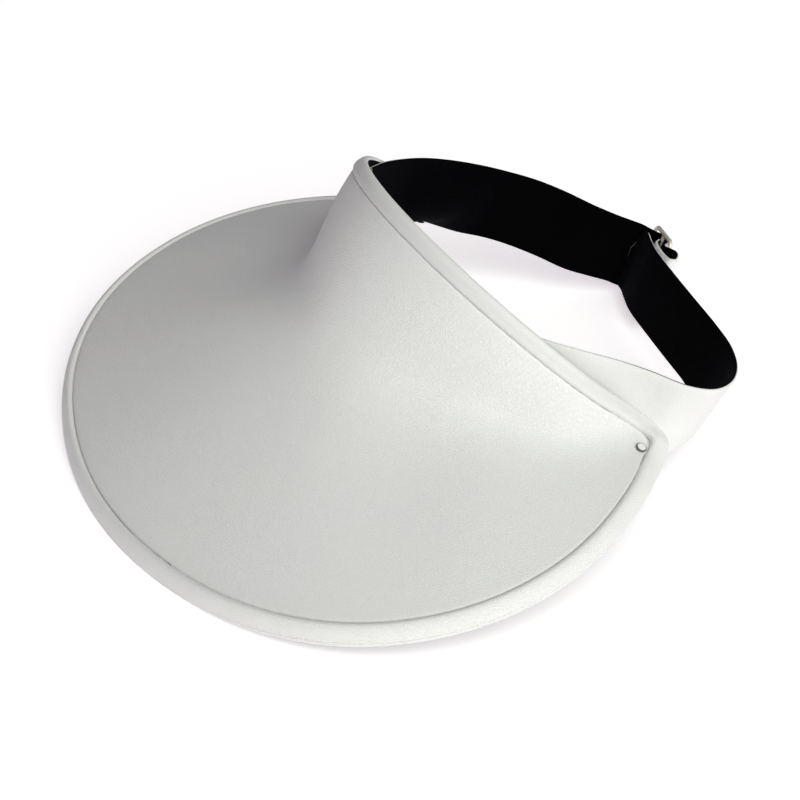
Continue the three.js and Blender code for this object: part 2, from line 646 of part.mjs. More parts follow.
/** Seat and axis of a rivet: on the panel, just inside the border's corner. */
function rivetSeat(grid, normals, side) {
  const rimSide = rimPoint(shareBeforeCorner(rimPoint, CORNER_REACH)).sub(CORNER).normalize();
  const edgeSide = edgePoint(shareBeforeCorner(edgePoint, CORNER_REACH)).sub(CORNER).normalize();
  const aim = CORNER.clone().addScaledVector(rimSide, RIVET_FROM_CROWN).addScaledVector(edgeSide, RIVET_FROM_RIM);
  aim.x *= side;
  let best = null;
  for (let i = 0; i < grid.length - 1; i += 1) {
    for (let j = 0; j < grid[0].length - 1; j += 1) {
      for (let a = 0; a <= 1; a += 1 / SEAT_STEPS) {
        for (let b = 0; b <= 1; b += 1 / SEAT_STEPS) {
          const point = grid[i][j].clone().multiplyScalar((1 - a) * (1 - b))
            .addScaledVector(grid[i + 1][j], a * (1 - b))
            .addScaledVector(grid[i][j + 1], (1 - a) * b)
            .addScaledVector(grid[i + 1][j + 1], a * b);
          const distance = point.distanceTo(aim);
          if (!best || distance < best.distance) {
            best = { distance, point, normal: normals[i][j].clone().lerp(normals[i + 1][j + 1], 0.5).normalize() };
          }
        }
      }
    }
  }
  return best;
}

const grid = panelGrid();
const normals = gridNormals(grid);
if (normals[SECTION_COUNT][2].z < 0) {
  normals.forEach((row) => row.forEach((n) => n.negate()));
}
const panelOuter = offsetGrid(grid, normals, SANDWICH / 2);
const panelInner = offsetGrid(grid, normals, SANDWICH / 2 - PANEL_WALL);
const liningOuter = offsetGrid(grid, normals, -SANDWICH / 2 + LINING_WALL);
const liningInner = offsetGrid(grid, normals, -SANDWICH / 2);
let panel = toManifold(bodyBetween(panelOuter, panelInner));
let lining = toManifold(bodyBetween(liningOuter, liningInner));
let strapLeft = strapBody(LEFT_STRAP, LEFT_STRAP_STATIONS);
let strapRight = strapBody(RIGHT_STRAP, RIGHT_STRAP_STATIONS);

const headToRim = new THREE.Quaternion().setFromAxisAngle(new THREE.Vector3(1, 0, 0), -HEAD_TILT);
const toHead = (vector) => vector.clone().applyQuaternion(headToRim.clone().invert());

const rivets = {};
for (const side of [1, -1]) {
  const seat = rivetSeat(grid, normals, side);
  const axis = seat.normal;
  const top = SANDWICH / 2 + RIVET_STAND + RIVET_CAP_HEIGHT;
  const back = -SANDWICH / 2 - RIVET_STRAP_DEPTH - STRAP_WALL;
  const rivet = turned(seat.point, axis, [
    [0, back - RIVET_BACK_HEIGHT],
    [RIVET_BACK / 2, back - RIVET_BACK_HEIGHT],
    [RIVET_BACK / 2, back],
    [RIVET_SHAFT / 2, back],
    [RIVET_SHAFT / 2, top - RIVET_CAP_HEIGHT],
    [RIVET_CAP / 2, top - RIVET_CAP_HEIGHT],
    [RIVET_CAP / 2, top - RIVET_CAP_ROUND],
    [RIVET_CAP / 2 - RIVET_CAP_ROUND, top],
    [0, top],
  ]);
  const hole = pin(seat.point, axis, RIVET_SHAFT + 2 * HOLE_CLEARANCE, back - HOLE_OVERRUN, top + HOLE_OVERRUN);
  panel = panel.subtract(hole);
  lining = lining.subtract(hole);
  const headHole = pin(toHead(seat.point), toHead(axis), RIVET_SHAFT + 2 * HOLE_CLEARANCE, back - HOLE_OVERRUN, top + HOLE_OVERRUN);
  if (side > 0) {
    strapLeft = strapLeft.subtract(headHole);
  } else {
    strapRight = strapRight.subtract(headHole);
  }
  rivets[side > 0 ? 'rivet_left' : 'rivet_right'] = rivet;
}

/** Named mesh with its own material. */
function node(name, geometry, finish) {
  geometry.computeVertexNormals();
  const mesh = new THREE.Mesh(geometry, new THREE.MeshStandardMaterial({ ...finish, side: THREE.FrontSide }));
  mesh.name = name;
  return mesh;
}

const visor = new THREE.Group();
visor.name = 'sun_visor';
visor.add(node('visor_panel', toGeometry(panel), FINISHES.whiteKnit));
visor.add(node('panel_lining', toGeometry(lining), FINISHES.blackKnit));
visor.add(node('edge_border', toGeometry(borderBody()), FINISHES.whiteKnit));
visor.add(node('rivet_left', toGeometry(rivets.rivet_left), FINISHES.pearlMetal));
visor.add(node('rivet_right', toGeometry(rivets.rivet_right), FINISHES.pearlMetal));

const headFrame = new THREE.Group();
headFrame.name = 'head_frame';
headFrame.quaternion.copy(headToRim);
headFrame.add(node('strap_left', toGeometry(strapLeft), FINISHES.whiteKnit));
headFrame.add(node('strap_right', toGeometry(strapRight), FINISHES.whiteKnit));
const ring = node('slider_ring', toGeometry(sliderBody()), FINISHES.pearlMetal);
ring.position.set(RING_SEAT.side, RING_SEAT.back, RING_SEAT.height);
ring.rotation.z = RING_SEAT.turn;
headFrame.add(ring);
visor.add(headFrame);

const rest = new THREE.Group();
rest.name = 'rest_pose';
rest.rotation.set(REST_PITCH, REST_LEAN, 0, 'YXZ');
rest.add(visor);
const footprint = new THREE.Box3().setFromObject(rest, true);
rest.position.set(
  -(footprint.min.x + footprint.max.x) / 2,
  -(footprint.min.y + footprint.max.y) / 2,
  -footprint.min.z,
);

export default rest;
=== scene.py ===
"""Looks of the wide brim sun visor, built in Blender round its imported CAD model."""

import json
import logging
import math
from collections.abc import Sequence
from dataclasses import dataclass, field
from enum import Enum

import bmesh
import bpy
import numpy as np
from mathutils import Matrix, Vector
from mathutils.kdtree import KDTree

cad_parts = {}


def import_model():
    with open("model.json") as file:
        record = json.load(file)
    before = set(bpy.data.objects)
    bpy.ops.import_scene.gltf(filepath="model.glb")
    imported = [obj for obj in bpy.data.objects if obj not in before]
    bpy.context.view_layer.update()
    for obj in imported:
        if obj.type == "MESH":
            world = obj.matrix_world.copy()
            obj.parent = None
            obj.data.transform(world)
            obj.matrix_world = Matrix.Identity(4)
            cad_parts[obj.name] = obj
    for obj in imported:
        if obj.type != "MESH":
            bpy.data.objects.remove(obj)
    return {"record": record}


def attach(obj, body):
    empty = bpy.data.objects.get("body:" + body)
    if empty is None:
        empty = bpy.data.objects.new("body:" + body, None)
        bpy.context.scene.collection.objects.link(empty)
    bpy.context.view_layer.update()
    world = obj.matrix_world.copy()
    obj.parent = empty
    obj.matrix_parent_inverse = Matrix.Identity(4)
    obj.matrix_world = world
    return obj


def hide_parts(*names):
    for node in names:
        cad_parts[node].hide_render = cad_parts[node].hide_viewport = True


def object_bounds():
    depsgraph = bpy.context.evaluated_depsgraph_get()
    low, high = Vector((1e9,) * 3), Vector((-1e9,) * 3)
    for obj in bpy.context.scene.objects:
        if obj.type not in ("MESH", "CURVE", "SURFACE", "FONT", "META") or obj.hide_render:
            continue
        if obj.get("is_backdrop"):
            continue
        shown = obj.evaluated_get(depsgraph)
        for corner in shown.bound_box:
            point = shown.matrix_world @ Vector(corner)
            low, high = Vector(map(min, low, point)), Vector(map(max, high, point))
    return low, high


Points = np.ndarray
Colour = tuple[float, float, float, float]
Material = bpy.types.Material
Node = bpy.types.Node
Piece = bpy.types.Object
Socket = bpy.types.NodeSocket
Tree = bpy.types.NodeTree

LOG = logging.getLogger("visor")
MM = 0.001
CLOTH_MAP = "cloth_mm"
WELD_DISTANCE = 2e-6
SHARP_ANGLE = math.radians(48)
DENSE = 4000
EDGE_STEPS = (0, 0.06, 0.18, 0.36, 0.62, 1.0)
LONGEST_EDGE_SHARE = 0.3
SECTION_KNOTS = (0, 0, 0, 0, 1, 2, 3, 3, 3, 3)
SECTION_DEGREE = 3


# Curves and tables

def hermite(start: Points, end: Points, start_slope: Points, end_slope: Points, t: Points) -> Points:
    """Cubic between two values with given slopes.

    Args:
        start: Values at t = 0.
        end: Values at t = 1.
        start_slope: Slopes at t = 0.
        end_slope: Slopes at t = 1.
        t: Ways along, from 0 to 1.

    Returns:
        Values at t.
    """
    t2 = t * t
    t3 = t2 * t
    return ((2 * t3 - 3 * t2 + 1) * start + (t3 - 2 * t2 + t) * start_slope
            + (3 * t2 - 2 * t3) * end + (t3 - t2) * end_slope)


def smooth_table(rows: Sequence[tuple[float, float]], at: Points) -> Points:
    """Reads a two-column table between its rows, smooth over four rows and level at the first.

    Args:
        rows: Pairs of a key and a value, with rising keys.
        at: Keys to read.

    Returns:
        One value for each key.
    """
    keys, values = np.array(rows, float).T
    last = len(keys) - 1
    row = np.clip(np.searchsorted(keys, at, side="left") - 1, 0, last - 1)
    before = np.maximum(np.arange(last + 1) - 1, 0)
    after = np.minimum(np.arange(last + 1) + 1, last)
    slopes = (values[after] - values[before]) / (keys[after] - keys[before])
    slopes[0] = 0
    span = keys[row + 1] - keys[row]
    return hermite(values[row], values[row + 1], span * slopes[row], span * slopes[row + 1],
                   (at - keys[row]) / span)


def curve_through(points: Points, shares: Points) -> Points:
    """Centripetal curve through points.

    Args:
        points: Points in order, one a row.
        shares: Places along the rows, from 0 to 1.

    Returns:
        One point for each share.
    """
    last = len(points) - 1
    run = np.clip(shares, 0, 1) * last
    row = np.minimum(np.floor(run).astype(int), last - 1)
    padded = np.vstack([2 * points[:1] - points[1:2], points, 2 * points[-1:] - points[-2:-1]])
    p0, p1, p2, p3 = (padded[row + k] for k in range(4))
    d0, d1, d2 = (np.sqrt(np.linalg.norm(b - a, axis=1))[:, None] for a, b in ((p0, p1), (p1, p2), (p2, p3)))
    slope1 = ((p1 - p0) / d0 - (p2 - p0) / (d0 + d1) + (p2 - p1) / d1) * d1
    slope2 = ((p2 - p1) / d1 - (p3 - p1) / (d1 + d2) + (p3 - p2) / d2) * d1
    return hermite(p1, p2, slope1, slope2, (run - row)[:, None])


def spline_weights(knots: Sequence[float], degree: int, count: int) -> Points:
    """Weights of a B-spline's control points at evenly spaced places.

    Args:
        knots: Clamped knot row.
        degree: Degree of the spline.
        count: Number of places.

    Returns:
        Array of count rows, one weight for each control point.
    """
    at = np.linspace(knots[0], knots[-1], count)
    at[-1] -= 1e-9
    knot = np.array(knots, float)
    weights = ((at[:, None] >= knot[:-1]) & (at[:, None] < knot[1:])).astype(float)
    for order in range(1, degree + 1):
        raised = np.zeros((count, len(knots) - 1 - order))
        for k in range(raised.shape[1]):
            low = knot[k + order] - knot[k]
            high = knot[k + order + 1] - knot[k + 1]
            if low > 0:
                raised[:, k] += (at - knot[k]) / low * weights[:, k]
            if high > 0:
                raised[:, k] += (knot[k + order + 1] - at) / high * weights[:, k + 1]
        weights = raised
    return weights


def unit(vectors: Points) -> Points:
    """Vectors of length one in the same directions."""
    return vectors / np.maximum(np.linalg.norm(vectors, axis=-1, keepdims=True), 1e-12)


def run_lengths(points: Points) -> Points:
    """Length along a line of points, 0 at the first."""
    steps = np.linalg.norm(np.diff(points, axis=0), axis=1)
    return np.concatenate([[0.0], np.cumsum(steps)])


def read_along(points: Points, at: Points) -> Points:
    """Points at given lengths along a line of points."""
    run = run_lengths(points)
    return np.stack([np.interp(at, run, points[:, k]) for k in range(points.shape[1])], axis=1)


def paired(first: Points, second: Points) -> Points:
    """Grid of all pairs of two rows of values."""
    return np.stack(np.meshgrid(first, second, indexing="ij"), -1)


def grid_normals(grid: Points) -> Points:
    """Normals of a grid of points, by the cross product of its two directions."""
    return unit(np.cross(np.gradient(grid, axis=0), np.gradient(grid, axis=1)))


# The visor's shape, in millimetres, with the rim's plane level: +X is the wearer's left and -Y the front

class Outline(Enum):
    """The two outlines of the moulded panel."""

    RIM = "rim"
    CROWN = "crown"


class Side(Enum):
    """The wearer's two sides; the value is the sign of x."""

    LEFT = 1
    RIGHT = -1


@dataclass(frozen=True)
class RestPose:
    """How the visor lies on the floor: turned from the level rim, then set down."""

    pitch: float = math.radians(7.41)
    lean: float = math.radians(1.84)
    head_tilt: float = math.radians(30.47)
    shift: tuple[float, float, float] = (-0.0766, -27.3650, 16.2241)

    def turn(self) -> Matrix:
        """Turn from the level rim to the pose at rest."""
        return Matrix.Rotation(self.lean, 3, "Y") @ Matrix.Rotation(self.pitch, 3, "X")

    def place(self, points: Points) -> Points:
        """Points of the level visor in millimetres, as metres in the frame."""
        return (points @ np.array(self.turn()).T + np.array(self.shift)) * MM

    def from_head(self, points: Points) -> Points:
        """Points of the tilted head frame, in the level visor's frame."""
        return points @ np.array(Matrix.Rotation(-self.head_tilt, 3, "X")).T


@dataclass(frozen=True)
class MouldedShape:
    """Middle surface of the moulded panel: rim, sloping crown edge and the soft fold between."""

    rim_half_width: float = 145.0
    rim_half_length: float = 119.3
    rim_side_lift: float = 1.9
    corner_angle: float = math.radians(141.0)
    crown_slope: float = math.radians(52.9)
    crown_top_ahead: float = 29.4
    crown_top_height: float = 91.5
    crown_half_width: float = 83.0
    crown_arch_depth: float = 80.0
    crown_straight: float = 20.0
    crown_ease_from: float = 0.7
    border_drop: float = 3.3
    longest_bend_share: float = 0.35
    brim_camber: float = 5.0
    brim_camber_at: float = 0.45
    full_brim_length: float = 90.0
    wall_bulge: float = 5.0
    wall_bulge_at: float = 0.62
    full_wall_length: float = 60.0
    samples: int = 401
    arch_samples: int = 2000
    tail_samples: int = 1000
    slope_step: float = 0.002
    search_to: float = 0.5
    search_step: float = 0.001
    rim_fullness: tuple[tuple[float, float], ...] = (
        (0, -1.1), (20, -0.8), (38, 0.5), (56, 1.2), (78, 0.1),
        (100, -1.1), (118, -1.1), (129, 0.2), (135, 1.4), (141, 4.8))
    fold_shares: tuple[float, ...] = (0, 0.25, 0.45, 0.62, 0.78, 0.9, 1)
    fold_points: tuple[tuple[float, float, float], ...] = (
        (0, -16, 41.5), (24.5, -8, 41.2), (56, 14, 30.8), (70, 29, 27), (86, 48, 18), (89, 76, 9),
        (88, 92, 3))
    brim_bends: tuple[float, ...] = (12, 10, 8, 6, 6, 9, 14)
    wall_bends: tuple[float, ...] = (13, 14.5, 16, 10, 8, 10, 14)

    def rim(self, shares: Points) -> Points:
        """Points of the rim's outline.

        Args:
            shares: Places from the front centre (0) to a corner (1 or -1).

        Returns:
            One point for each share.
        """
        angle = shares * self.corner_angle
        out = smooth_table(self.rim_fullness, np.degrees(np.abs(angle)))
        outward = unit(np.stack([self.rim_half_length * np.sin(angle),
                                 -self.rim_half_width * np.cos(angle)], 1))
        return np.stack([
            self.rim_half_width * np.sin(angle) + out * outward[:, 0],
            -self.rim_half_length * np.cos(angle) + out * outward[:, 1],
            self.border_drop + self.rim_side_lift * np.sin(angle) ** 2,
        ], 1)

    def corner(self) -> Points:
        """The corner on the wearer's left, where rim and crown edge meet."""
        return self.rim(np.array([1.0]))[0]

    def crown(self, shares: Points) -> Points:
        """Points of the crown's upper edge.

        Args:
            shares: Places from the front centre (0) to a corner (1 or -1).

        Returns:
            One point for each share.
        """
        corner = self.corner()
        corner_drop = (self.crown_top_height - corner[2]) / math.sin(self.crown_slope)
        turn = np.linspace(-math.pi / 2, 0, self.arch_samples)
        arch = np.stack([self.crown_half_width * np.cos(turn),
                         self.crown_arch_depth * (1 + np.sin(turn))], 1)
        t = np.linspace(0, 1, self.tail_samples)[1:, None]
        control = np.array([[self.crown_half_width, self.crown_arch_depth],
                            [self.crown_half_width, self.crown_arch_depth + self.crown_straight],
                            [corner[0], corner_drop]])
        tail = (1 - t) ** 2 * control[0] + 2 * t * (1 - t) * control[1] + t * t * control[2]
        outline = np.vstack([arch, tail])
        size = np.minimum(np.abs(shares), 1)
        flat = read_along(outline, size * run_lengths(outline)[-1])
        miss = corner[1] - (self.crown_top_ahead + corner_drop * math.cos(self.crown_slope))
        ease = np.maximum(0, (size - self.crown_ease_from) / (1 - self.crown_ease_from)) ** 2
        return np.stack([
            np.where(shares < 0, -1, 1) * flat[:, 0],
            self.crown_top_ahead + flat[:, 1] * math.cos(self.crown_slope) + miss * ease,
            self.crown_top_height - flat[:, 1] * math.sin(self.crown_slope),
        ], 1)

    def outline(self, which: Outline, shares: Points) -> Points:
        """Points of one outline."""
        return self.rim(shares) if which is Outline.RIM else self.crown(shares)

    def fold(self, shares: Points) -> Points:
        """Where brim and wall would meet if the fold were sharp.

        Args:
            shares: Places from corner to corner, from -1 to 1.

        Returns:
            One point for each share.
        """
        half = np.array(self.fold_points, float)
        known = np.array(self.fold_shares, float)
        known = np.concatenate([-known[:0:-1], known])
        rows = np.interp(shares, known, np.linspace(0, 1, len(known)))
        return curve_through(np.vstack([half[:0:-1] * [-1, 1, 1], half]), rows)

    def control_points(self, shares: Points) -> Points:
        """Control points of the sections from rim to crown edge.

        Args:
            shares: Places from corner to corner, from -1 to 1.

        Returns:
            Six points for each share.
        """
        rim, fold, crown = self.rim(shares), self.fold(shares), self.crown(shares)
        brim = np.linalg.norm(fold - rim, axis=1, keepdims=True)
        wall = np.linalg.norm(crown - fold, axis=1, keepdims=True)
        brim_bend, wall_bend = (np.interp(np.abs(shares), self.fold_shares, bends)[:, None]
                                for bends in (self.brim_bends, self.wall_bends))
        brim_share = np.minimum(brim_bend / brim, self.longest_bend_share)
        wall_share = np.minimum(wall_bend / wall, self.longest_bend_share)
        around = unit(np.cross(unit(fold - rim), unit(crown - fold)))
        brim_up = np.cross(around, unit(fold - rim))
        wall_out = np.cross(around, unit(crown - fold))
        brim_middle = (rim + self.brim_camber_at * (fold - rim)
                       + brim_up * self.brim_camber * np.minimum(1, brim / self.full_brim_length))
        wall_middle = (fold + self.wall_bulge_at * (crown - fold)
                       + wall_out * self.wall_bulge * np.minimum(1, wall / self.full_wall_length))
        return np.stack([rim, brim_middle, fold + brim_share * (rim - fold),
                         fold + wall_share * (crown - fold), wall_middle, crown], 1)

    def sections(self, shares: Points) -> Points:
        """Dense section curves from rim to crown edge, one row of points for each share."""
        weights = spline_weights(SECTION_KNOTS, SECTION_DEGREE, self.samples)
        return np.einsum("sk,nkc->nsc", weights, self.control_points(shares))

    def frames(self, which: Outline, shares: Points) -> tuple[Points, Points, Points]:
        """Directions along an outline.

        Args:
            which: The outline.
            shares: Places along it, from -1 to 1.

        Returns:
            Points of the outline, inward directions and surface normals.
        """
        before = self.outline(which, np.maximum(shares - self.slope_step, -1))
        after = self.outline(which, np.minimum(shares + self.slope_step, 1))
        tangent = unit(after - before)
        control = self.control_points(shares)
        at_rim = which is Outline.RIM
        section = unit(control[:, 1] - control[:, 0]) if at_rim else unit(control[:, 5] - control[:, 4])
        normal = unit(np.cross(tangent, section))
        inward = section if at_rim else -section
        inward = unit(inward - tangent * (inward * tangent).sum(1, keepdims=True))
        return self.outline(which, shares), inward, normal

    def share_before_corner(self, which: Outline, distance: float) -> float:
        """Where the corner's loop begins.

        Args:
            which: The outline.
            distance: Millimetres left to the corner.

        Returns:
            Share of the outline at that distance.
        """
        shares = np.arange(1.0, self.search_to, -self.search_step)
        away = np.linalg.norm(self.outline(which, shares) - self.corner(), axis=1)
        return float(shares[np.argmax(away >= distance)])


# Meshes and objects

def add_object(name: str, data: bpy.types.ID) -> Piece:
    """Makes an object.

    Args:
        name: Name of the object.
        data: Its mesh, camera or light.

    Returns:
        The object, linked to the scene.
    """
    added = bpy.data.objects.new(name, data)
    bpy.context.scene.collection.objects.link(added)
    return added


@dataclass
class PieceMesh:
    """Grids of one piece, gathered and then welded into one closed mesh."""

    name: str
    points: list[Points] = field(default_factory=list)
    faces: list[Points] = field(default_factory=list)
    cloth: list[Points] = field(default_factory=list)
    finish: list[Points] = field(default_factory=list)
    count: int = 0

    def add_grid(self, grid: Points, cloth: Points, finish: int | Points = 0) -> None:
        """Adds a grid of quads.

        Args:
            grid: Points in metres, rows by columns by three.
            cloth: Places on the flat cloth in millimetres, rows by columns by two.
            finish: Number of the finish, one for all faces or one for each column of faces.
        """
        rows, columns = grid.shape[:2]
        index = np.arange(rows * columns).reshape(rows, columns)
        corners = np.stack([index[:-1, :-1], index[1:, :-1], index[1:, 1:], index[:-1, 1:]], -1)
        corners = corners.reshape(-1, 4)
        self.points.append(grid.reshape(-1, 3))
        self.faces.append(corners + self.count)
        self.cloth.append(cloth.reshape(-1, 2)[corners].reshape(-1, 2))
        per_column = np.broadcast_to(np.asarray(finish), (columns - 1,))
        self.finish.append(np.tile(per_column, rows - 1))
        self.count += rows * columns

    def add_walls(self, front: Points, back: Points, cloth: Points, finish: int = 0,
                  ends: int | None = None, lids: tuple[int, ...] = (0, -1)) -> None:
        """Closes the four sides between two grids of the same size.

        Args:
            front: Outer grid.
            back: Inner grid.
            cloth: Places on the flat cloth for both.
            finish: Number of the finish on the long sides.
            ends: Number of the finish on the first and last row, the same if left out.
            lids: Rows that are closed.
        """
        end_finish = finish if ends is None else ends
        for column in (0, -1):
            sides = np.stack([front[:, column], back[:, column]], 1)
            self.add_grid(sides, np.stack([cloth[:, column], cloth[:, column] + [0, 1]], 1), finish)
        for row in lids:
            sides = np.stack([front[row], back[row]], 1)
            self.add_grid(sides, np.stack([cloth[row], cloth[row] + [1, 0]], 1), end_finish)

    def build(self, finishes: Sequence[Material]) -> Piece:
        """Welds the grids and makes the object.

        Args:
            finishes: Materials in the order of the finish numbers.

        Returns:
            The object, linked to the scene.
        """
        mesh = bpy.data.meshes.new(self.name)
        mesh.from_pydata(np.vstack(self.points).tolist(), [], np.vstack(self.faces).tolist())
        for material in finishes:
            mesh.materials.append(material)
        mesh.polygons.foreach_set("material_index", np.concatenate(self.finish).astype(np.int32))
        layer = mesh.uv_layers.new(name=CLOTH_MAP)
        layer.uv.foreach_set("vector", np.vstack(self.cloth).astype(np.float32).ravel())
        work = bmesh.new()
        work.from_mesh(mesh)
        bmesh.ops.remove_doubles(work, verts=work.verts, dist=WELD_DISTANCE)
        bmesh.ops.dissolve_degenerate(work, edges=work.edges, dist=WELD_DISTANCE)
        bmesh.ops.recalc_face_normals(work, faces=work.faces)
        if work.calc_volume(signed=True) < 0:
            bmesh.ops.reverse_faces(work, faces=work.faces)
        work.to_mesh(mesh)
        work.free()
        mesh.polygons.foreach_set("use_smooth", np.ones(len(mesh.polygons), bool))
        mesh.set_sharp_from_angle(angle=SHARP_ANGLE)
        return add_object(self.name, mesh)


def dress(piece: Piece, node: str) -> None:
    """Puts a piece in its node's place, on the visor's one body.

    Args:
        piece: The piece.
        node: Node of the frame that it replaces.
    """
    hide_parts(node)
    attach(piece, "root")


def rounded_drop(from_edge: Points, radius: float | Points) -> Points:
    """How far a rounded edge lies below the face, by distance from the edge."""
    inside = np.clip(radius - from_edge, 0, radius)
    return radius - np.sqrt(np.maximum(radius * radius - inside * inside, 0))


def edge_spaced(length: float, radius: float, count: int) -> Points:
    """Places across a sheet, close together at both rounded edges.

    Args:
        length: Width of the sheet.
        radius: Radius of the rounded edges.
        count: Number of even places between them.

    Returns:
        Distances from the first edge, from 0 to the length.
    """
    reach = min(radius, LONGEST_EDGE_SHARE * length)
    close = reach * np.array(EDGE_STEPS)
    even = np.linspace(reach, length - reach, count + 2)[1:-1]
    return np.concatenate([close, even, length - close[::-1]])


# Materials

def linear(colour: str) -> Colour:
    """Linear colour of an sRGB hex value such as #e9e8e6."""
    values = [int(colour[k:k + 2], 16) / 255 for k in (1, 3, 5)]
    return (*[v / 12.92 if v <= 0.04045 else ((v + 0.055) / 1.055) ** 2.4 for v in values], 1.0)


def add_node(tree: Tree, kind: str, settings: dict | None = None,
             inputs: dict | None = None) -> Node:
    """Adds a node with its settings and its inputs, each a value or an output to link.

    Args:
        tree: Node tree.
        kind: Node type.
        settings: Properties of the node.
        inputs: Values or outputs by input name or number.

    Returns:
        The node.
    """
    node = tree.nodes.new(kind)
    for name, value in (settings or {}).items():
        setattr(node, name, value)
    for name, value in (inputs or {}).items():
        socket = node.inputs[name]
        if isinstance(value, Socket):
            tree.links.new(value, socket)
        else:
            socket.default_value = value
    return node


def empty_material(name: str) -> tuple[Material, Tree]:
    """Makes a material.

    Args:
        name: Name of the material.

    Returns:
        The material and its empty node tree.
    """
    material = bpy.data.materials.new(name)
    material.use_nodes = True
    material.node_tree.nodes.clear()
    return material, material.node_tree


def add_cloth(tree: Tree) -> Socket:
    """Adds the map of the flat cloth, in millimetres."""
    return add_node(tree, "ShaderNodeUVMap", {"uv_map": CLOTH_MAP}).outputs["UV"]


def add_noise(tree: Tree, place: Socket, scale: float, detail: float, roughness: float = 0.5) -> Node:
    """Adds soft noise with so many waves in a millimetre."""
    return add_node(tree, "ShaderNodeTexNoise", inputs={
        "Vector": place, "Scale": scale, "Detail": detail, "Roughness": roughness})


def add_range(tree: Tree, value: Socket, to: tuple[float, float],
              start: tuple[float, float] = (0.0, 1.0)) -> Socket:
    """Maps a value from its first range to another."""
    ends = {"From Min": start[0], "From Max": start[1], "To Min": to[0], "To Max": to[1]}
    return add_node(tree, "ShaderNodeMapRange", inputs={"Value": value, **ends}).outputs["Result"]


def add_mix(tree: Tree, share: Socket, first: Colour | Socket, second: Colour) -> Socket:
    """Mixes two colours by the share of the second."""
    return add_node(tree, "ShaderNodeMix", {"data_type": "RGBA"}, {
        "Factor": share, 6: first, 7: second}).outputs[2]


def add_bump(tree: Tree, height: Socket, relief: float, invert: bool = False) -> Socket:
    """Turns a height from 0 to 1 into a fine relief of so many millimetres."""
    return add_node(tree, "ShaderNodeBump", {"invert": invert}, {
        "Distance": relief * MM, "Height": height}).outputs["Normal"]


def add_surface(tree: Tree, inputs: dict) -> None:
    """Adds the shader with these inputs and shows it."""
    shader = add_node(tree, "ShaderNodeBsdfPrincipled", inputs=inputs)
    add_node(tree, "ShaderNodeOutputMaterial", inputs={"Surface": shader.outputs["BSDF"]})


@dataclass(frozen=True)
class PolyesterKnit:
    """Fine polyester double knit on foam, heat moulded: matt, with short stitches in offset rows.

    The eye gets an even, soft face with a barely seen grain, and a faint lighter bloom where it turns away.
    """

    name: str
    colour: str
    stitch_colour: str
    cast_colour: str
    roughness: float = 0.86
    roughness_play: float = 0.06
    sheen: float = 0.12
    sheen_spread: float = 0.5
    sheen_colour: str = "#ffffff"
    specular: float = 0.3
    relief: float = 0.16
    stitch_relief_share: float = 0.5
    repeat: float = 1.5
    row: float = 0.7
    stitch: float = 0.8
    gap_share: float = 0.2
    gap_softness: float = 0.8
    turn: float = math.radians(58)
    uneven: float = 0.7
    uneven_rows: float = 0.55
    fuzz: float = 0.6
    fuzz_layers: tuple[float, float] = (3.0, 0.7)
    fleck_range: tuple[float, float] = (0.4, 0.66)
    cast_patch: float = 60.0
    cast_range: tuple[float, float] = (0.35, 0.65)
    cast_most: float = 0.5

    def stitches(self, tree: Tree, cloth: Socket) -> Node:
        """Rows of short stitches that wander a little.

        Args:
            tree: Node tree.
            cloth: Map of the flat cloth.

        Returns:
            The node with the stitches' colour and their gaps.
        """
        turned = add_node(tree, "ShaderNodeMapping", inputs={"Vector": cloth, "Rotation": (0, 0, self.turn)})
        wander = add_noise(tree, cloth, self.uneven_rows / self.row, 1.0)
        reach = 2 * self.uneven
        shifted = add_node(tree, "ShaderNodeVectorMath", {"operation": "MULTIPLY_ADD"}, {
            0: wander.outputs["Color"], 1: (reach, reach, 0), 2: turned.outputs["Vector"]})
        gap = self.gap_share * self.row
        narrow = 2 * gap / (self.repeat - self.stitch)
        squeezed = add_node(tree, "ShaderNodeMapping", inputs={
            "Vector": shifted.outputs["Vector"], "Scale": (narrow, 1, 1)})
        return add_node(tree, "ShaderNodeTexBrick", {"offset": 0.5, "offset_frequency": 2}, {
            "Vector": squeezed.outputs["Vector"], "Scale": 1.0, "Brick Width": self.repeat * narrow,
            "Row Height": self.row, "Mortar Size": gap, "Mortar Smooth": self.gap_softness,
            "Color1": linear(self.colour), "Color2": linear(self.colour),
            "Mortar": linear(self.stitch_colour)})

    def material(self) -> Material:
        """Builds the material.

        Returns:
            The material.
        """
        material, tree = empty_material(self.name)
        cloth = add_cloth(tree)
        stitches = self.stitches(tree, cloth)
        cast = add_noise(tree, cloth, 1 / self.cast_patch, 2.0).outputs["Fac"]
        fuzz = add_noise(tree, cloth, 1 / self.fuzz, *self.fuzz_layers).outputs["Fac"]
        tinted = add_mix(tree, add_range(tree, cast, (0.0, self.cast_most), self.cast_range),
                         stitches.outputs["Color"], linear(self.cast_colour))
        flecked = add_mix(tree, add_range(tree, fuzz, (0.0, 1.0), self.fleck_range),
                          tinted, linear(self.stitch_colour))
        height = add_node(tree, "ShaderNodeMath", {"operation": "MULTIPLY_ADD"}, {
            0: stitches.outputs["Fac"], 1: self.stitch_relief_share, 2: fuzz})
        play = (self.roughness - self.roughness_play, self.roughness + self.roughness_play)
        add_surface(tree, {
            "Base Color": flecked,
            "Roughness": add_range(tree, fuzz, play),
            "Normal": add_bump(tree, height.outputs["Value"], self.relief, invert=True),
            "Sheen Weight": self.sheen,
            "Sheen Roughness": self.sheen_spread,
            "Sheen Tint": linear(self.sheen_colour),
            "Specular IOR Level": self.specular})
        return material


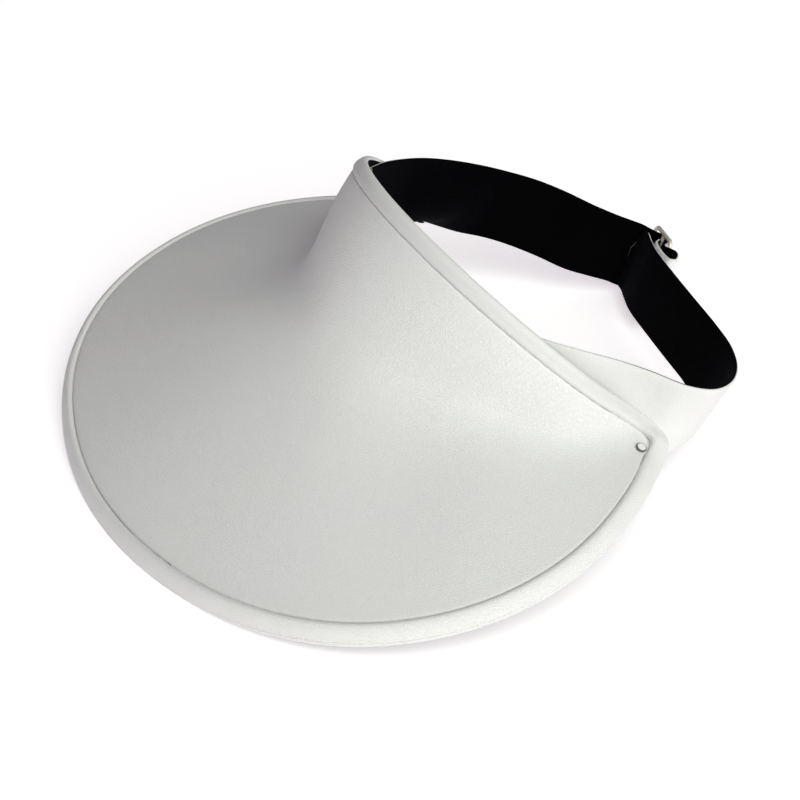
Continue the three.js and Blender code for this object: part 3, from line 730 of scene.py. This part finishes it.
@dataclass(frozen=True)
class CutFoamEdge:
    """Cut edge of the laminate: foam between the two knits, a matt light grey with open pores."""

    name: str = "cut_foam_edge"
    colour: str = "#b9b7b3"
    pore_colour: str = "#8f8d8a"
    pores_in_mm: float = 3.0
    relief: float = 0.08
    roughness: float = 0.9

    def material(self) -> Material:
        """Builds the material.

        Returns:
            The material.
        """
        material, tree = empty_material(self.name)
        pores = add_node(tree, "ShaderNodeTexVoronoi", inputs={
            "Vector": add_cloth(tree), "Scale": self.pores_in_mm}).outputs["Distance"]
        add_surface(tree, {
            "Base Color": add_mix(tree, pores, linear(self.colour), linear(self.pore_colour)),
            "Roughness": self.roughness,
            "Normal": add_bump(tree, pores, self.relief)})
        return material


@dataclass(frozen=True)
class HardFinish:
    """A smooth, hard finish with fine waves in its gloss and its face.

    The eye gets a plain colour whose highlight is soft and slightly broken.
    """

    name: str
    colour: str
    roughness: float
    metallic: float = 0.0
    waves_in_mm: float = 2.5
    wave_layers: float = 2.0
    relief: float = 0.01
    smoother: float = 0.05
    rougher: float = 0.08

    def material(self) -> Material:
        """Builds the material.

        Returns:
            The material.
        """
        material, tree = empty_material(self.name)
        waves = add_noise(tree, add_cloth(tree), self.waves_in_mm, self.wave_layers).outputs["Fac"]
        play = (self.roughness - self.smoother, self.roughness + self.rougher)
        add_surface(tree, {
            "Base Color": linear(self.colour),
            "Metallic": self.metallic,
            "Roughness": add_range(tree, waves, play),
            "Normal": add_bump(tree, waves, self.relief)})
        return material


@dataclass(frozen=True)
class PearlPlatedZinc(HardFinish):
    """Die-cast zinc with a pearl nickel plate: a warm, pale satin metal with soft casting waves."""

    name: str = "pearl_plated_zinc"
    colour: str = "#e8e1d4"
    roughness: float = 0.34
    metallic: float = 0.35
    waves_in_mm: float = 0.33
    wave_layers: float = 3.0
    relief: float = 0.04
    smoother: float = 0.08
    rougher: float = 0.1


@dataclass(frozen=True)
class StoveEnamel(HardFinish):
    """Stove enamel sprayed on a pressed steel cap: smooth, with a faint orange peel and a soft gloss."""

    roughness: float = 0.35


WHITE_KNIT = PolyesterKnit("white_polyester_knit", "#f2f0f0", "#e8e6e6", "#edebed")
BORDER_KNIT = PolyesterKnit("white_border_knit", "#f1efef", "#e9e7e7", "#edebed", turn=0.0)
BLACK_KNIT = PolyesterKnit("black_polyester_knit", "#040406", "#030304", "#050507",
                           roughness=0.95, sheen=0.09, sheen_spread=0.28, sheen_colour="#8f93a8",
                           specular=0.02)
SLIDER_PLATE = PearlPlatedZinc()
CAP_ENAMEL = StoveEnamel("white_cap_enamel", "#f1f0ec")
# The cap's dark grey edge is painted shade: a darker enamel standing in for the shadow in the recess round
# the cap.
CAP_EDGE_PAINTED_SHADE = StoveEnamel("cap_edge_painted_shade", "#62605c", 0.45)
BLACK_BACK = StoveEnamel("black_back_enamel", "#040405", 0.9)
CUT_EDGE = CutFoamEdge()


# Sub-assemblies

@dataclass
class EdgeBorder:
    """Rounded border turned down round the whole panel."""

    shape: MouldedShape
    pose: RestPose
    corner_reach: float = 15.0
    corner_tightness: float = 3.0
    rim_stations: int = 300
    crown_stations: int = 200
    corner_stations: int = 24
    profile_points: int = 66
    top_point: int = 5
    flank_point: int = 12
    underside_from: int = 49
    rim_profile: tuple[tuple[float, float], ...] = (
        (6.7, -1.45), (6.7, 1.1), (6.1, 2.0), (5.0, 2.4), (3.3, 1.9), (1.5, 0.6), (0.2, -0.8),
        (-0.35, -1.55), (0.0, -1.85), (-0.75, -2.1), (-1.1, -3.1), (-0.3, -3.9), (0.9, -3.1), (2.4, -1.9))
    crown_profile: tuple[tuple[float, float], ...] = (
        (6.9, -1.45), (6.9, 0.9), (6.2, 1.7), (5.0, 2.1), (3.7, 2.0), (2.4, 1.6),
        (1.0, 0.9), (0.2, 0.0), (0.0, -0.9), (0.5, -1.7), (1.8, -1.9), (4.0, -1.7))
    stitch_pitch: float = 2.1
    stitch_size: tuple[float, float, float] = (1.25, 0.5, 0.6)
    stitch_seat: tuple[float, float] = (-0.2, -1.8)
    stitch_lean: tuple[float, float] = (-0.82, 0.57)
    stitch_sides: int = 8
    stitch_rings: int = 5

    def smooth_profile(self, which: Outline) -> Points:
        """Profile as a smooth line from the top of the groove over the bead to the groove's foot."""
        rows = np.array(self.rim_profile if which is Outline.RIM else self.crown_profile)
        return curve_through(np.vstack([rows[1:], rows[:1]]), np.linspace(0, 1, self.profile_points))

    def placed(self, which: Outline, shares: Points) -> Points:
        """Profile placed along an outline.

        Args:
            which: The outline.
            shares: Places along it.

        Returns:
            Stations by profile points by three.
        """
        point, inward, normal = self.shape.frames(which, shares)
        profile = self.smooth_profile(which)
        return (point[:, None] + inward[:, None] * profile[None, :, :1]
                + normal[:, None] * profile[None, :, 1:])

    def corner_loop(self, side: Side, rim_share: float, crown_share: float) -> Points:
        """Stations round one corner, from the rim to the crown edge.

        Args:
            side: Which corner.
            rim_share: Share at which the rim's part ends.
            crown_share: Share at which the crown edge's part begins.

        Returns:
            Stations by profile points by three.
        """
        start_point, _, start_normal = self.shape.frames(Outline.RIM, np.array([side.value * rim_share]))
        end_point, _, end_normal = self.shape.frames(Outline.CROWN, np.array([side.value * crown_share]))
        corner = self.shape.corner() * [side.value, 1, 1]
        along_rim = unit(start_point[0] - corner)
        along_crown = unit(end_point[0] - corner)
        sine = np.linalg.norm(np.cross(along_rim, along_crown))
        normal = unit(start_normal[0] + end_normal[0])
        rim_rows = self.smooth_profile(Outline.RIM)
        crown_rows = self.smooth_profile(Outline.CROWN)
        pull = (corner + along_rim * crown_rows[:, :1] / sine + along_crown * rim_rows[:, :1] / sine
                + normal * (rim_rows[:, 1:] + crown_rows[:, 1:]) / 2)
        start = self.placed(Outline.RIM, np.array([side.value * rim_share]))[0]
        end = self.placed(Outline.CROWN, np.array([side.value * crown_share]))[0]
        t = np.linspace(0, 1, self.corner_stations + 2)[1:-1, None, None]
        share = self.corner_tightness * 2 * t * (1 - t)
        return ((1 - t) ** 2 * start + share * pull + t * t * end) / ((1 - t) ** 2 + share + t * t)

    def stations(self) -> Points:
        """All stations of the border.

        Returns:
            Rim from right to left, left corner, crown edge and right corner.
        """
        rim_share = self.shape.share_before_corner(Outline.RIM, self.corner_reach)
        crown_share = self.shape.share_before_corner(Outline.CROWN, self.corner_reach)
        return np.concatenate([
            self.placed(Outline.RIM, np.linspace(-rim_share, rim_share, self.rim_stations)),
            self.corner_loop(Side.LEFT, rim_share, crown_share),
            self.placed(Outline.CROWN, np.linspace(crown_share, -crown_share, self.crown_stations)),
            self.corner_loop(Side.RIGHT, rim_share, crown_share)[::-1],
        ])

    def add_stitches(self, mesh: PieceMesh) -> None:
        """Adds the row of small thread bridges that runs round the rim's outer flank.

        Args:
            mesh: The border's mesh.
        """
        rim_share = self.shape.share_before_corner(Outline.RIM, self.corner_reach)
        dense = np.linspace(-rim_share, rim_share, DENSE)
        run = run_lengths(self.shape.rim(dense))
        places = np.arange(self.stitch_pitch, run[-1] - self.stitch_pitch, self.stitch_pitch)
        point, inward, normal = self.shape.frames(Outline.RIM, np.interp(places, run, dense))
        along = unit(np.cross(normal, inward))
        out = unit(inward * self.stitch_lean[0] + normal * self.stitch_lean[1])
        across = np.cross(along, out)
        centre = point + inward * self.stitch_seat[0] + normal * self.stitch_seat[1]
        turn = np.linspace(0, 2 * math.pi, self.stitch_sides + 1)
        rise = np.linspace(-math.pi / 2, math.pi / 2, self.stitch_rings + 1)
        length, width, height = self.stitch_size
        girth = np.cos(rise)[:, None]
        ball = np.stack([length * np.sin(rise)[:, None] + 0 * turn, width * girth * np.cos(turn),
                         height * girth * np.sin(turn)], -1) / 2
        for index, middle in enumerate(centre):
            axes = np.stack([along[index], across[index], out[index]])
            grid = self.pose.place(ball @ axes + middle)
            mesh.add_grid(grid, ball[..., :2] + [places[index], 0])

    def build(self, knit: Material, lining_knit: Material) -> Piece:
        """Builds the border and dresses it.

        Args:
            knit: White knit over the bead.
            lining_knit: Black knit of the lining's turning underneath.

        Returns:
            The border.
        """
        stations = self.stations()
        closed = np.concatenate([stations, stations[:1]])
        closed = np.concatenate([closed, closed[:, :1]], 1)
        along = run_lengths(closed[:, self.top_point])
        round_it = run_lengths(closed[0])
        cloth = paired(along, round_it)
        mesh = PieceMesh("edge_border_knit")
        underside = (np.arange(self.profile_points) >= self.underside_from).astype(int)
        underside[-1] = 0
        mesh.add_grid(self.pose.place(closed), cloth, underside)
        self.add_stitches(mesh)
        border = mesh.build([knit, lining_knit])
        dress(border, "edge_border")
        return border


@dataclass
class MouldedPanel:
    """White moulded panel and its black inner face, trimmed to the border's groove."""

    shape: MouldedShape
    pose: RestPose
    border: EdgeBorder
    wall: float = 1.6
    lining: float = 1.0
    gap: float = 0.3
    groove: float = 0.12
    groove_height_share: float = 0.43
    groove_parts: int = 4
    shortest_tip: float = 0.12
    edge_round: float = 1.15
    middle_rows: int = 250
    tip_rows: int = 40
    tip_from: float = 0.86
    tip_halvings: int = 12
    brim_column: int = 4
    cloth_rise_share: float = 0.5
    across: int = 78

    def groove_tree(self) -> tuple[KDTree, Points, Points]:
        """The border's inner wall, for the distance of a point from the groove.

        Returns:
            Search tree, the wall's points and the directions into the panel.
        """
        stations = self.border.stations()
        wall = stations[:, 0] + self.groove_height_share * (stations[:, -1] - stations[:, 0])
        away = stations[:, 0] - stations[:, self.border.flank_point]
        parts = np.arange(self.groove_parts) / self.groove_parts
        fine, inward = (np.concatenate([line + (np.roll(line, -1, 0) - line) * part for part in parts])
                        for line in (wall, away))
        tree = KDTree(len(fine))
        for index, point in enumerate(fine):
            tree.insert(point, index)
        tree.balance()
        return tree, fine, unit(inward)

    def inside_by(self, section: Points, tree: KDTree, wall: Points, inward: Points) -> Points:
        """Distance of a section's points from the groove.

        Args:
            section: Points of the section.
            tree: Search tree of the border's inner wall.
            wall: The wall's points.
            inward: Directions into the panel.

        Returns:
            Distances, positive inside the panel.
        """
        nearest = np.array([tree.find(point)[1] for point in section])
        offset = section - wall[nearest]
        distance = np.linalg.norm(offset, axis=1)
        return distance * np.sign((offset * inward[nearest]).sum(1))

    def trimmed(self, section: Points, inside: Points) -> Points | None:
        """Cuts a section at the groove.

        Args:
            section: Points of the section.
            inside: Their distances from the groove.

        Returns:
            The part inside, or None if nothing is left of it.
        """
        best = int(np.argmax(inside))
        if inside[best] < self.groove + self.shortest_tip:
            return None
        halves = []
        for step, end in ((-1, 0), (1, len(section) - 1)):
            last = best
            while last != end and inside[last + step] > self.groove:
                last += step
            half = section[np.arange(best, last + step, step)]
            if last != end:
                t = (inside[last] - self.groove) / (inside[last] - inside[last + step])
                half = np.vstack([half, section[last] + t * (section[last + step] - section[last])])
            halves.append(half)
        return np.vstack([halves[0][::-1], halves[1][1:]])

    def middle_surface(self, radius: float) -> tuple[Points, Points]:
        """Trimmed middle surface.

        Args:
            radius: Radius of the rounded edges, where the grid is closer.

        Returns:
            Grid of points and the distance of each from the nearer edge along its row.
        """
        tree, wall, inward = self.groove_tree()

        def row(share: float) -> Points | None:
            """Trimmed section at one share."""
            section = self.shape.sections(np.array([share]))[0]
            return self.trimmed(section, self.inside_by(section, tree, wall, inward))

        low, high = self.tip_from, 1.0
        for _ in range(self.tip_halvings):
            middle = (low + high) / 2
            if row(middle) is None:
                high = middle
            else:
                low = middle
        tips = np.linspace(self.tip_from, low, self.tip_rows)
        middle_shares = np.linspace(-self.tip_from, self.tip_from, self.middle_rows)[1:-1]
        shares = np.concatenate([-tips[::-1], middle_shares, tips])
        grid, from_edge = [], []
        for share in shares:
            line = row(float(share))
            length = run_lengths(line)[-1]
            places = edge_spaced(length, radius, self.across)
            grid.append(read_along(line, places))
            from_edge.append(np.minimum(places, length - places))
        return np.array(grid), np.array(from_edge)

    def build(self, outer_knit: Material, inner_knit: Material) -> list[Piece]:
        """Builds the two layers and dresses them.

        Args:
            outer_knit: White knit of the panel.
            inner_knit: Black knit of the lining.

        Returns:
            Panel and lining.
        """
        grid, from_edge = self.middle_surface(self.edge_round)
        normals = grid_normals(grid)
        if normals[len(normals) // 2, self.brim_column, 2] < 0:
            normals = -normals
        half = (self.wall + self.gap + self.lining) / 2
        cloth = np.stack([grid[..., 0], grid[..., 1] + self.cloth_rise_share * grid[..., 2]], -1)
        radius = np.minimum(self.edge_round, 0.5 * from_edge.max(1, keepdims=True))
        drop = rounded_drop(from_edge, radius)
        level = np.zeros_like(drop)
        layers = (
            ("moulded_panel_knit", half - drop, level + half - self.wall, outer_knit,
             "visor_panel", "outer_fabric"),
            ("panel_lining_knit", level + self.lining - half, level - half, inner_knit,
             "panel_lining", "inner_fabric"))
        pieces = []
        for name, top, bottom, knit, node, slot in layers:
            front = self.pose.place(grid + normals * top[..., None])
            back = self.pose.place(grid + normals * bottom[..., None])
            mesh = PieceMesh(name)
            mesh.add_grid(front, cloth)
            mesh.add_grid(back, cloth)
            mesh.add_walls(front, back, cloth)
            piece = mesh.build([knit])
            dress(piece, node)
            pieces.append(piece)
        return pieces


@dataclass
class HeadStrap:
    """One head strap: a band of laminate, white outside and black towards the head, with rounded edges."""

    pose: RestPose
    name: str
    node: str
    rows: tuple[tuple[tuple[float, float, float], ...], ...]
    flat: tuple[float, float]
    wall: float = 1.8
    edge_round: float = 0.8
    stations: int = 360
    across: int = 14
    width: float = 32.0
    trimmed_end: float = 5.0

    def four_lines(self) -> Points:
        """The band's lines from edge to edge.

        Returns:
            Rows of an upper, high, low and lower point, straight between unless the row pulls them.
        """
        lines = []
        for row in self.rows:
            points = np.array(row, float)
            if len(points) == 2:
                points = points[0] + (points[1] - points[0]) * np.array([0, 1 / 3, 2 / 3, 1])[:, None]
            lines.append(points)
        return np.array(lines)

    def build(self, outer: Material, inner: Material, cut: Material) -> Piece:
        """Builds the band and dresses it.

        Args:
            outer: White knit.
            inner: Black knit towards the head.
            cut: Cut edge of the end.

        Returns:
            The strap.
        """
        lines = self.four_lines()
        dense = np.linspace(0, 1, DENSE)
        middle = curve_through(lines[:, 1:3].mean(1), dense)
        run = run_lengths(middle)
        places = np.interp(np.linspace(0, run[-1], self.stations), run, dense)
        a, b, c, d = (curve_through(lines[:, k], places)[:, None] for k in range(4))
        across = edge_spaced(self.width, self.edge_round, self.across)
        t = (across / self.width)[None, :, None]
        grid = (1 - t) ** 3 * a + 3 * t * (1 - t) ** 2 * b + 3 * t * t * (1 - t) * c + t ** 3 * d
        normals = grid_normals(grid)
        temple = len(grid) // 4
        if normals[temple, 0, 0] * grid[temple, 0, 0] < 0:
            normals = -normals
        drop = rounded_drop(np.minimum(across, self.width - across), self.edge_round)[None, :, None]
        front = self.pose.place(self.pose.from_head(grid - normals * drop))
        back = self.pose.place(self.pose.from_head(grid - normals * (self.wall - drop)))
        cloth = paired(np.linspace(0, run[-1], self.stations), across)
        mesh = PieceMesh(self.name)
        mesh.add_grid(front, cloth, 0)
        mesh.add_grid(back, cloth, 1)
        trimmed = len(grid) - 1 - int(self.trimmed_end / run[-1] * self.stations)
        mesh.add_walls(front[:trimmed + 1], back[:trimmed + 1], cloth[:trimmed + 1], 1, 2, lids=(0,))
        mesh.add_walls(front[trimmed:], back[trimmed:], cloth[trimmed:], 2, 2, lids=(-1,))
        strap = mesh.build([outer, inner, cut])
        dress(strap, self.node)
        return strap


@dataclass
class WireSlider:
    """Slider of bent wire with a middle bar, round which the strap is folded."""

    pose: RestPose
    length: float = 18.5
    height: float = 36.4
    wire: float = 2.0
    corner: float = 2.5
    seat: tuple[float, float, float] = (-34.2, 148.0, 62.6)
    turn: float = math.radians(-9.9)
    bar_depth_share: float = 0.8
    flare_run: tuple[float, ...] = (0.0, 0.5, 1.2, 2.0)
    flare: tuple[float, ...] = (1.5, 1.2, 1.05, 1.0)
    bend_steps: int = 10
    sides: int = 24

    def placed(self, points: Points) -> Points:
        """Points of the slider's own frame, in the model's frame."""
        turned = points @ np.array(Matrix.Rotation(self.turn, 3, "Z")).T + np.array(self.seat)
        return self.pose.place(self.pose.from_head(turned))

    def build(self, plate: Material) -> Piece:
        """Builds the slider and dresses it.

        Args:
            plate: Plated metal.

        Returns:
            The slider.
        """
        half_length = (self.length - self.wire) / 2 - self.corner
        half_height = (self.height - self.wire) / 2 - self.corner
        around = np.linspace(0, 2 * math.pi, self.sides + 1)
        stations = []
        for number, (x, z) in enumerate(((1, 1), (-1, 1), (-1, -1), (1, -1))):
            for angle in np.linspace(0, math.pi / 2, self.bend_steps) + number * math.pi / 2:
                outward = np.array([math.cos(angle), 0, math.sin(angle)])
                centre = np.array([x * half_length, 0, z * half_height]) + outward * self.corner
                stations.append(centre + self.wire / 2 * (
                    np.cos(around)[:, None] * outward + np.sin(around)[:, None] * np.array([0, 1, 0])))
        frame_grid = np.array(stations + stations[:1])
        along = run_lengths(frame_grid[:, 0])
        cloth = paired(along, around * self.wire / 2)
        mesh = PieceMesh("slider_ring_plated")
        mesh.add_grid(self.placed(frame_grid), cloth)
        reach = (self.height - self.wire) / 2
        run = np.array(self.flare_run)
        levels = np.concatenate([run - reach, [0], reach - run[::-1]])
        radius = self.wire / 2 * np.array([*self.flare, 1, *self.flare[::-1]])[:, None]
        bar = np.stack([radius * np.cos(around), self.bar_depth_share * radius * np.sin(around),
                        levels[:, None] + 0 * around], -1)
        mesh.add_grid(self.placed(bar), paired(levels, around))
        slider = mesh.build([plate])
        dress(slider, "slider_ring")
        return slider


@dataclass
class TempleRivet:
    """Two-part rivet at a temple corner: enamelled cap, shaft and the disc that holds the strap."""

    name: str
    node: str
    top: Points
    axis: Points
    sides: int = 56
    # Profile rows: radius and height from the top in millimetres, and the finish (0 white cap, 1 painted
    # shade on the cap's edge, 2 black back).
    profile: tuple[tuple[float, float, int], ...] = (
        (0.0, -0.10, 0), (0.6, -0.09, 0), (1.1, -0.05, 0), (1.5, 0.0, 0), (1.66, -0.02, 0),
        (1.74, -0.1, 0), (1.8, -0.16, 1), (1.92, -0.13, 1), (2.05, -0.2, 1), (2.16, -0.35, 1),
        (2.2, -0.6, 1), (2.15, -0.88, 1), (2.0, -0.9, 1), (1.1, -0.9, 1), (1.1, -8.72, 2),
        (1.45, -8.72, 2), (1.56, -8.75, 2), (1.6, -8.8, 2), (1.56, -8.86, 2), (1.4, -8.92, 2),
        (0.9, -8.95, 2), (0.0, -8.96, 2))

    def build(self, enamel: Material, rim: Material, back: Material) -> Piece:
        """Builds the rivet and dresses it.

        Args:
            enamel: White of the cap.
            rim: Painted shade on the cap's edge, a dark grey standing in for the shadow of the recess round
                the cap.
            back: Black of the shaft and the disc.

        Returns:
            The rivet.
        """
        rows = np.array(self.profile)
        around = np.linspace(0, 2 * math.pi, self.sides + 1)
        sideways = unit(np.cross(self.axis, [0.0, 1.0, 0.0]))
        across = np.cross(self.axis, sideways)
        circle = np.cos(around)[:, None] * sideways + np.sin(around)[:, None] * across
        grid = self.top + MM * (circle[:, None] * rows[None, :, :1] + self.axis * rows[None, :, 1:2])
        cloth = np.stack([np.cos(around)[:, None] * rows[:, 0], np.sin(around)[:, None] * rows[:, 0]], -1)
        mesh = PieceMesh(self.name)
        mesh.add_grid(grid, cloth, rows[1:, 2].astype(int))
        rivet = mesh.build([enamel, rim, back])
        dress(rivet, self.node)
        return rivet


LEFT_STRAP_ROWS = (
    ((61.5, 5, 77.5), (67, 11, 45.5)),
    ((68.4, 17.8, 76.6), (73.5, 25, 45)),
    ((72.4, 35.1, 75.6), (80.5, 43, 44.6)),
    ((75.6, 53.2, 74.4), (77, 54, 66), (76.5, 57, 51.5), (89, 56, 44)),
    ((81.2, 67.5, 73.5), (79.5, 68.5, 64), (76, 73.6, 50.8), (98.8, 64.3, 42.4)),
    ((88.6, 81.4, 73.0), (86.6, 81.9, 63), (83.9, 82.9, 52), (90.3, 83.8, 41.6)),
    ((89.9, 94.4, 73.2), (81.4, 99.8, 41)),
    ((83.9, 107.6, 73.8), (75.3, 109.4, 42)),
    ((71.9, 119.2, 74.7), (66.9, 118.7, 43.5)),
    ((55.6, 127.0, 75.5), (53.5, 125.8, 45)),
    ((39.2, 129.8, 76.2), (38.4, 129.8, 46)),
    ((20.6, 131.4, 76.8), (20.6, 131.4, 46.6)),
    ((1.5, 133.2, 77.3), (1.3, 133.2, 47.2)),
    ((-20, 136.4, 77.6), (-20, 136.6, 47.4)),
    ((-31, 140.0, 77.7), (-31, 140.4, 47.8)),
    ((-38.6, 142.7, 77.7), (-36.6, 142.4, 48.2)),
    ((-41.8, 142.8, 73.2), (-40.2, 142.6, 48.7)),
    ((-43.2, 140.9, 67.3), (-42.6, 141.4, 60.5), (-42.4, 142.0, 54.9), (-41.0, 142.6, 49.0)),
)
TONGUE_ROWS = (
    (-45.6, 143.4, 78.4, 47.2), (-43.6, 146.4, 78, 47.3), (-40.2, 149.4, 78, 47.3),
    (-37.6, 152.6, 78, 47.3), (-34.6, 153.6, 78, 47.3), (-31.4, 151.4, 78, 47.3),
    (-28.9, 147.6, 78, 47.3), (-26.6, 145, 78, 47.3), (-23.6, 145, 78.8, 47.2),
    (-20.4, 146.0, 79.3, 47.6), (-17.0, 145.0, 79.5, 47.8), (-13.4, 142.4, 79.5, 47.8),
    (-11.2, 139.6, 79.2, 47.6), (-12.4, 137.2, 78.7, 47.4), (-16.6, 137.1, 78.2, 47.2),
    (-22, 138.1, 78, 47.2), (-27, 139.6, 78, 47.2), (-30.6, 141.6, 78, 47.2), (-33, 144.4, 78, 47.2),
)
RIGHT_STRAP_ROWS = (
    ((-61.6, 5.6, 78.7), (-67, 11, 45.5)),
    ((-69.8, 17.4, 78.7), (-73.5, 25, 45)),
    ((-76.2, 31, 78.7), (-80.5, 42, 44.8)),
    ((-80.2, 44, 78.7), (-79, 46, 68), (-76.5, 51.5, 53.5), (-88, 54, 44)),
    ((-82.0, 60, 78.7), (-78.5, 64, 66), (-75.4, 73.6, 49.4), (-98.8, 64.3, 41.8)),
    ((-81.8, 75, 78.7), (-80.5, 76.5, 67), (-79, 79.5, 54), (-89.5, 82, 42.4)),
    ((-80.0, 87, 78.7), (-81.4, 90.5, 44.6)),
    ((-75.4, 101.5, 78.7), (-75.0, 99.5, 45.7)),
    ((-67.6, 113.2, 78.7), (-66.4, 111.2, 46)),
    ((-57.2, 123.6, 78.7), (-56.8, 122.4, 46)),
    ((-50.8, 132.3, 78.7), (-51.6, 131.8, 46.8)),
    ((-47.4, 139.6, 78.5), (-47.6, 139.8, 47.4)),
) + tuple(((x, y, top), (x, y, bottom)) for x, y, top, bottom in TONGUE_ROWS)


@dataclass
class SoftStudio:
    """Plain pale floor, one large soft light from the right and a dim, even surround."""

    pose: RestPose
    eye: tuple[float, float, float] = (733.07, -254.70, 654.46)
    azimuth: float = math.radians(69.455)
    elevation: float = math.radians(40.232)
    roll: float = math.radians(-8.345)
    focal_pixels: float = 2458.33
    image_pixels: float = 800.0
    sensor: float = 36.0
    clip: tuple[float, float] = (0.05, 50.0)
    floor_half: float = 6.0
    floor_colour: str = "#fbfbfb"
    floor_roughness: float = 0.95
    floor_specular: float = 0.1
    floor_glow: float = 0.5
    floor_glow_colour: str = "#fff9fd"
    surround: float = 0.06
    surround_colour: str = "#f2cdff"
    key_power: float = 328.0
    key_colour: str = "#f9fff7"
    key_size: float = 7.0
    key_distance: float = 5.0
    key_azimuth: float = math.radians(90)
    key_elevation: float = math.radians(42)

    def camera(self) -> Piece:
        """Camera at the photograph's place and angle.

        Returns:
            The camera, set as the scene's own.
        """
        data = bpy.data.cameras.new("photo_camera")
        data.sensor_width = self.sensor
        data.lens = self.focal_pixels * self.sensor / self.image_pixels
        data.clip_start, data.clip_end = self.clip
        camera = add_object("photo_camera", data)
        axes = (self.pose.turn() @ Matrix.Rotation(self.azimuth, 3, "Z")
                @ Matrix.Rotation(math.pi / 2 - self.elevation, 3, "X") @ Matrix.Rotation(self.roll, 3, "Z"))
        place = Vector(self.pose.place(np.array([self.eye]))[0])
        camera.matrix_world = Matrix.Translation(place) @ axes.to_4x4()
        bpy.context.scene.camera = camera
        return camera

    def floor(self) -> Piece:
        """Wide pale floor.

        Returns:
            The floor, declared as part of the stage.
        """
        material, tree = empty_material("studio_paper")
        add_surface(tree, {
            "Base Color": linear(self.floor_colour), "Roughness": self.floor_roughness,
            "Specular IOR Level": self.floor_specular,
            "Emission Color": linear(self.floor_glow_colour), "Emission Strength": self.floor_glow})
        size = self.floor_half
        mesh = bpy.data.meshes.new("studio_floor")
        corners = [(-size, -size, 0), (size, -size, 0), (size, size, 0), (-size, size, 0)]
        mesh.from_pydata(corners, [], [(0, 1, 2, 3)])
        mesh.materials.append(material)
        floor = add_object("studio_floor", mesh)
        floor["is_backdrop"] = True
        return floor

    def lights(self, aim: Vector) -> None:
        """Large soft key light from the wearer's left, and the dim surround.

        Args:
            aim: Point that the key light faces.
        """
        level = math.cos(self.key_elevation)
        direction = Vector((level * math.sin(self.key_azimuth), -level * math.cos(self.key_azimuth),
                            math.sin(self.key_elevation)))
        data = bpy.data.lights.new("soft_key", "AREA")
        data.shape = "DISK"
        data.size = self.key_size
        data.energy = self.key_power
        data.color = linear(self.key_colour)[:3]
        key = add_object("soft_key", data)
        key.location = aim + direction * self.key_distance
        key.rotation_mode = "QUATERNION"
        key.rotation_quaternion = direction.to_track_quat("Z", "Y")
        world = bpy.data.worlds.new("pale_surround")
        world.use_nodes = True
        world.node_tree.nodes.clear()
        glow = add_node(world.node_tree, "ShaderNodeBackground", inputs={
            "Color": linear(self.surround_colour), "Strength": self.surround})
        add_node(world.node_tree, "ShaderNodeOutputWorld", inputs={"Surface": glow.outputs["Background"]})
        bpy.context.scene.world = world

    def build(self, aim: Vector) -> None:
        """Sets up camera, floor and lights.

        Args:
            aim: Point that the key light faces.
        """
        self.camera()
        self.floor()
        self.lights(aim)
        bpy.context.scene.view_settings.view_transform = "Standard"


def main() -> None:
    """Builds the visor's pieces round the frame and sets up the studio."""
    logging.basicConfig(level=logging.INFO, format="%(name)s: %(message)s")
    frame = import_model()
    cad_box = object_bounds()
    pose = RestPose()
    shape = MouldedShape()
    # The rivets' dark cap edge gets the painted shade material.
    white, border_knit, black, cut, plate, enamel, cap_edge_shade, back_enamel = (
        finish.material() for finish in (
            WHITE_KNIT, BORDER_KNIT, BLACK_KNIT, CUT_EDGE, SLIDER_PLATE, CAP_ENAMEL, CAP_EDGE_PAINTED_SHADE, BLACK_BACK))
    border = EdgeBorder(shape, pose)
    pieces = [border.build(border_knit, black)]
    pieces += MouldedPanel(shape, pose, border).build(white, black)
    for side, rows, length in (("left", LEFT_STRAP_ROWS, 0.250), ("right", RIGHT_STRAP_ROWS, 0.240)):
        strap = HeadStrap(pose, f"head_strap_{side}", f"strap_{side}", rows, (0.033, length))
        pieces.append(strap.build(white, black, cut))
    pieces.append(WireSlider(pose).build(plate))
    for mount in frame["record"]["mounts"]:
        side = mount["name"].rsplit("_", 1)[1]
        rivet = TempleRivet(f"temple_rivet_{side}", f"rivet_{side}", np.array(mount["pos_m"]),
                            unit(np.array(mount["axis"])))
        pieces.append(rivet.build(enamel, cap_edge_shade, back_enamel))
    for piece in pieces:
        LOG.info("%s: %d faces", piece.name, len(piece.data.polygons))
    SoftStudio(pose).build((cad_box[0] + cad_box[1]) / 2)


if __name__ == "__main__":
    main()
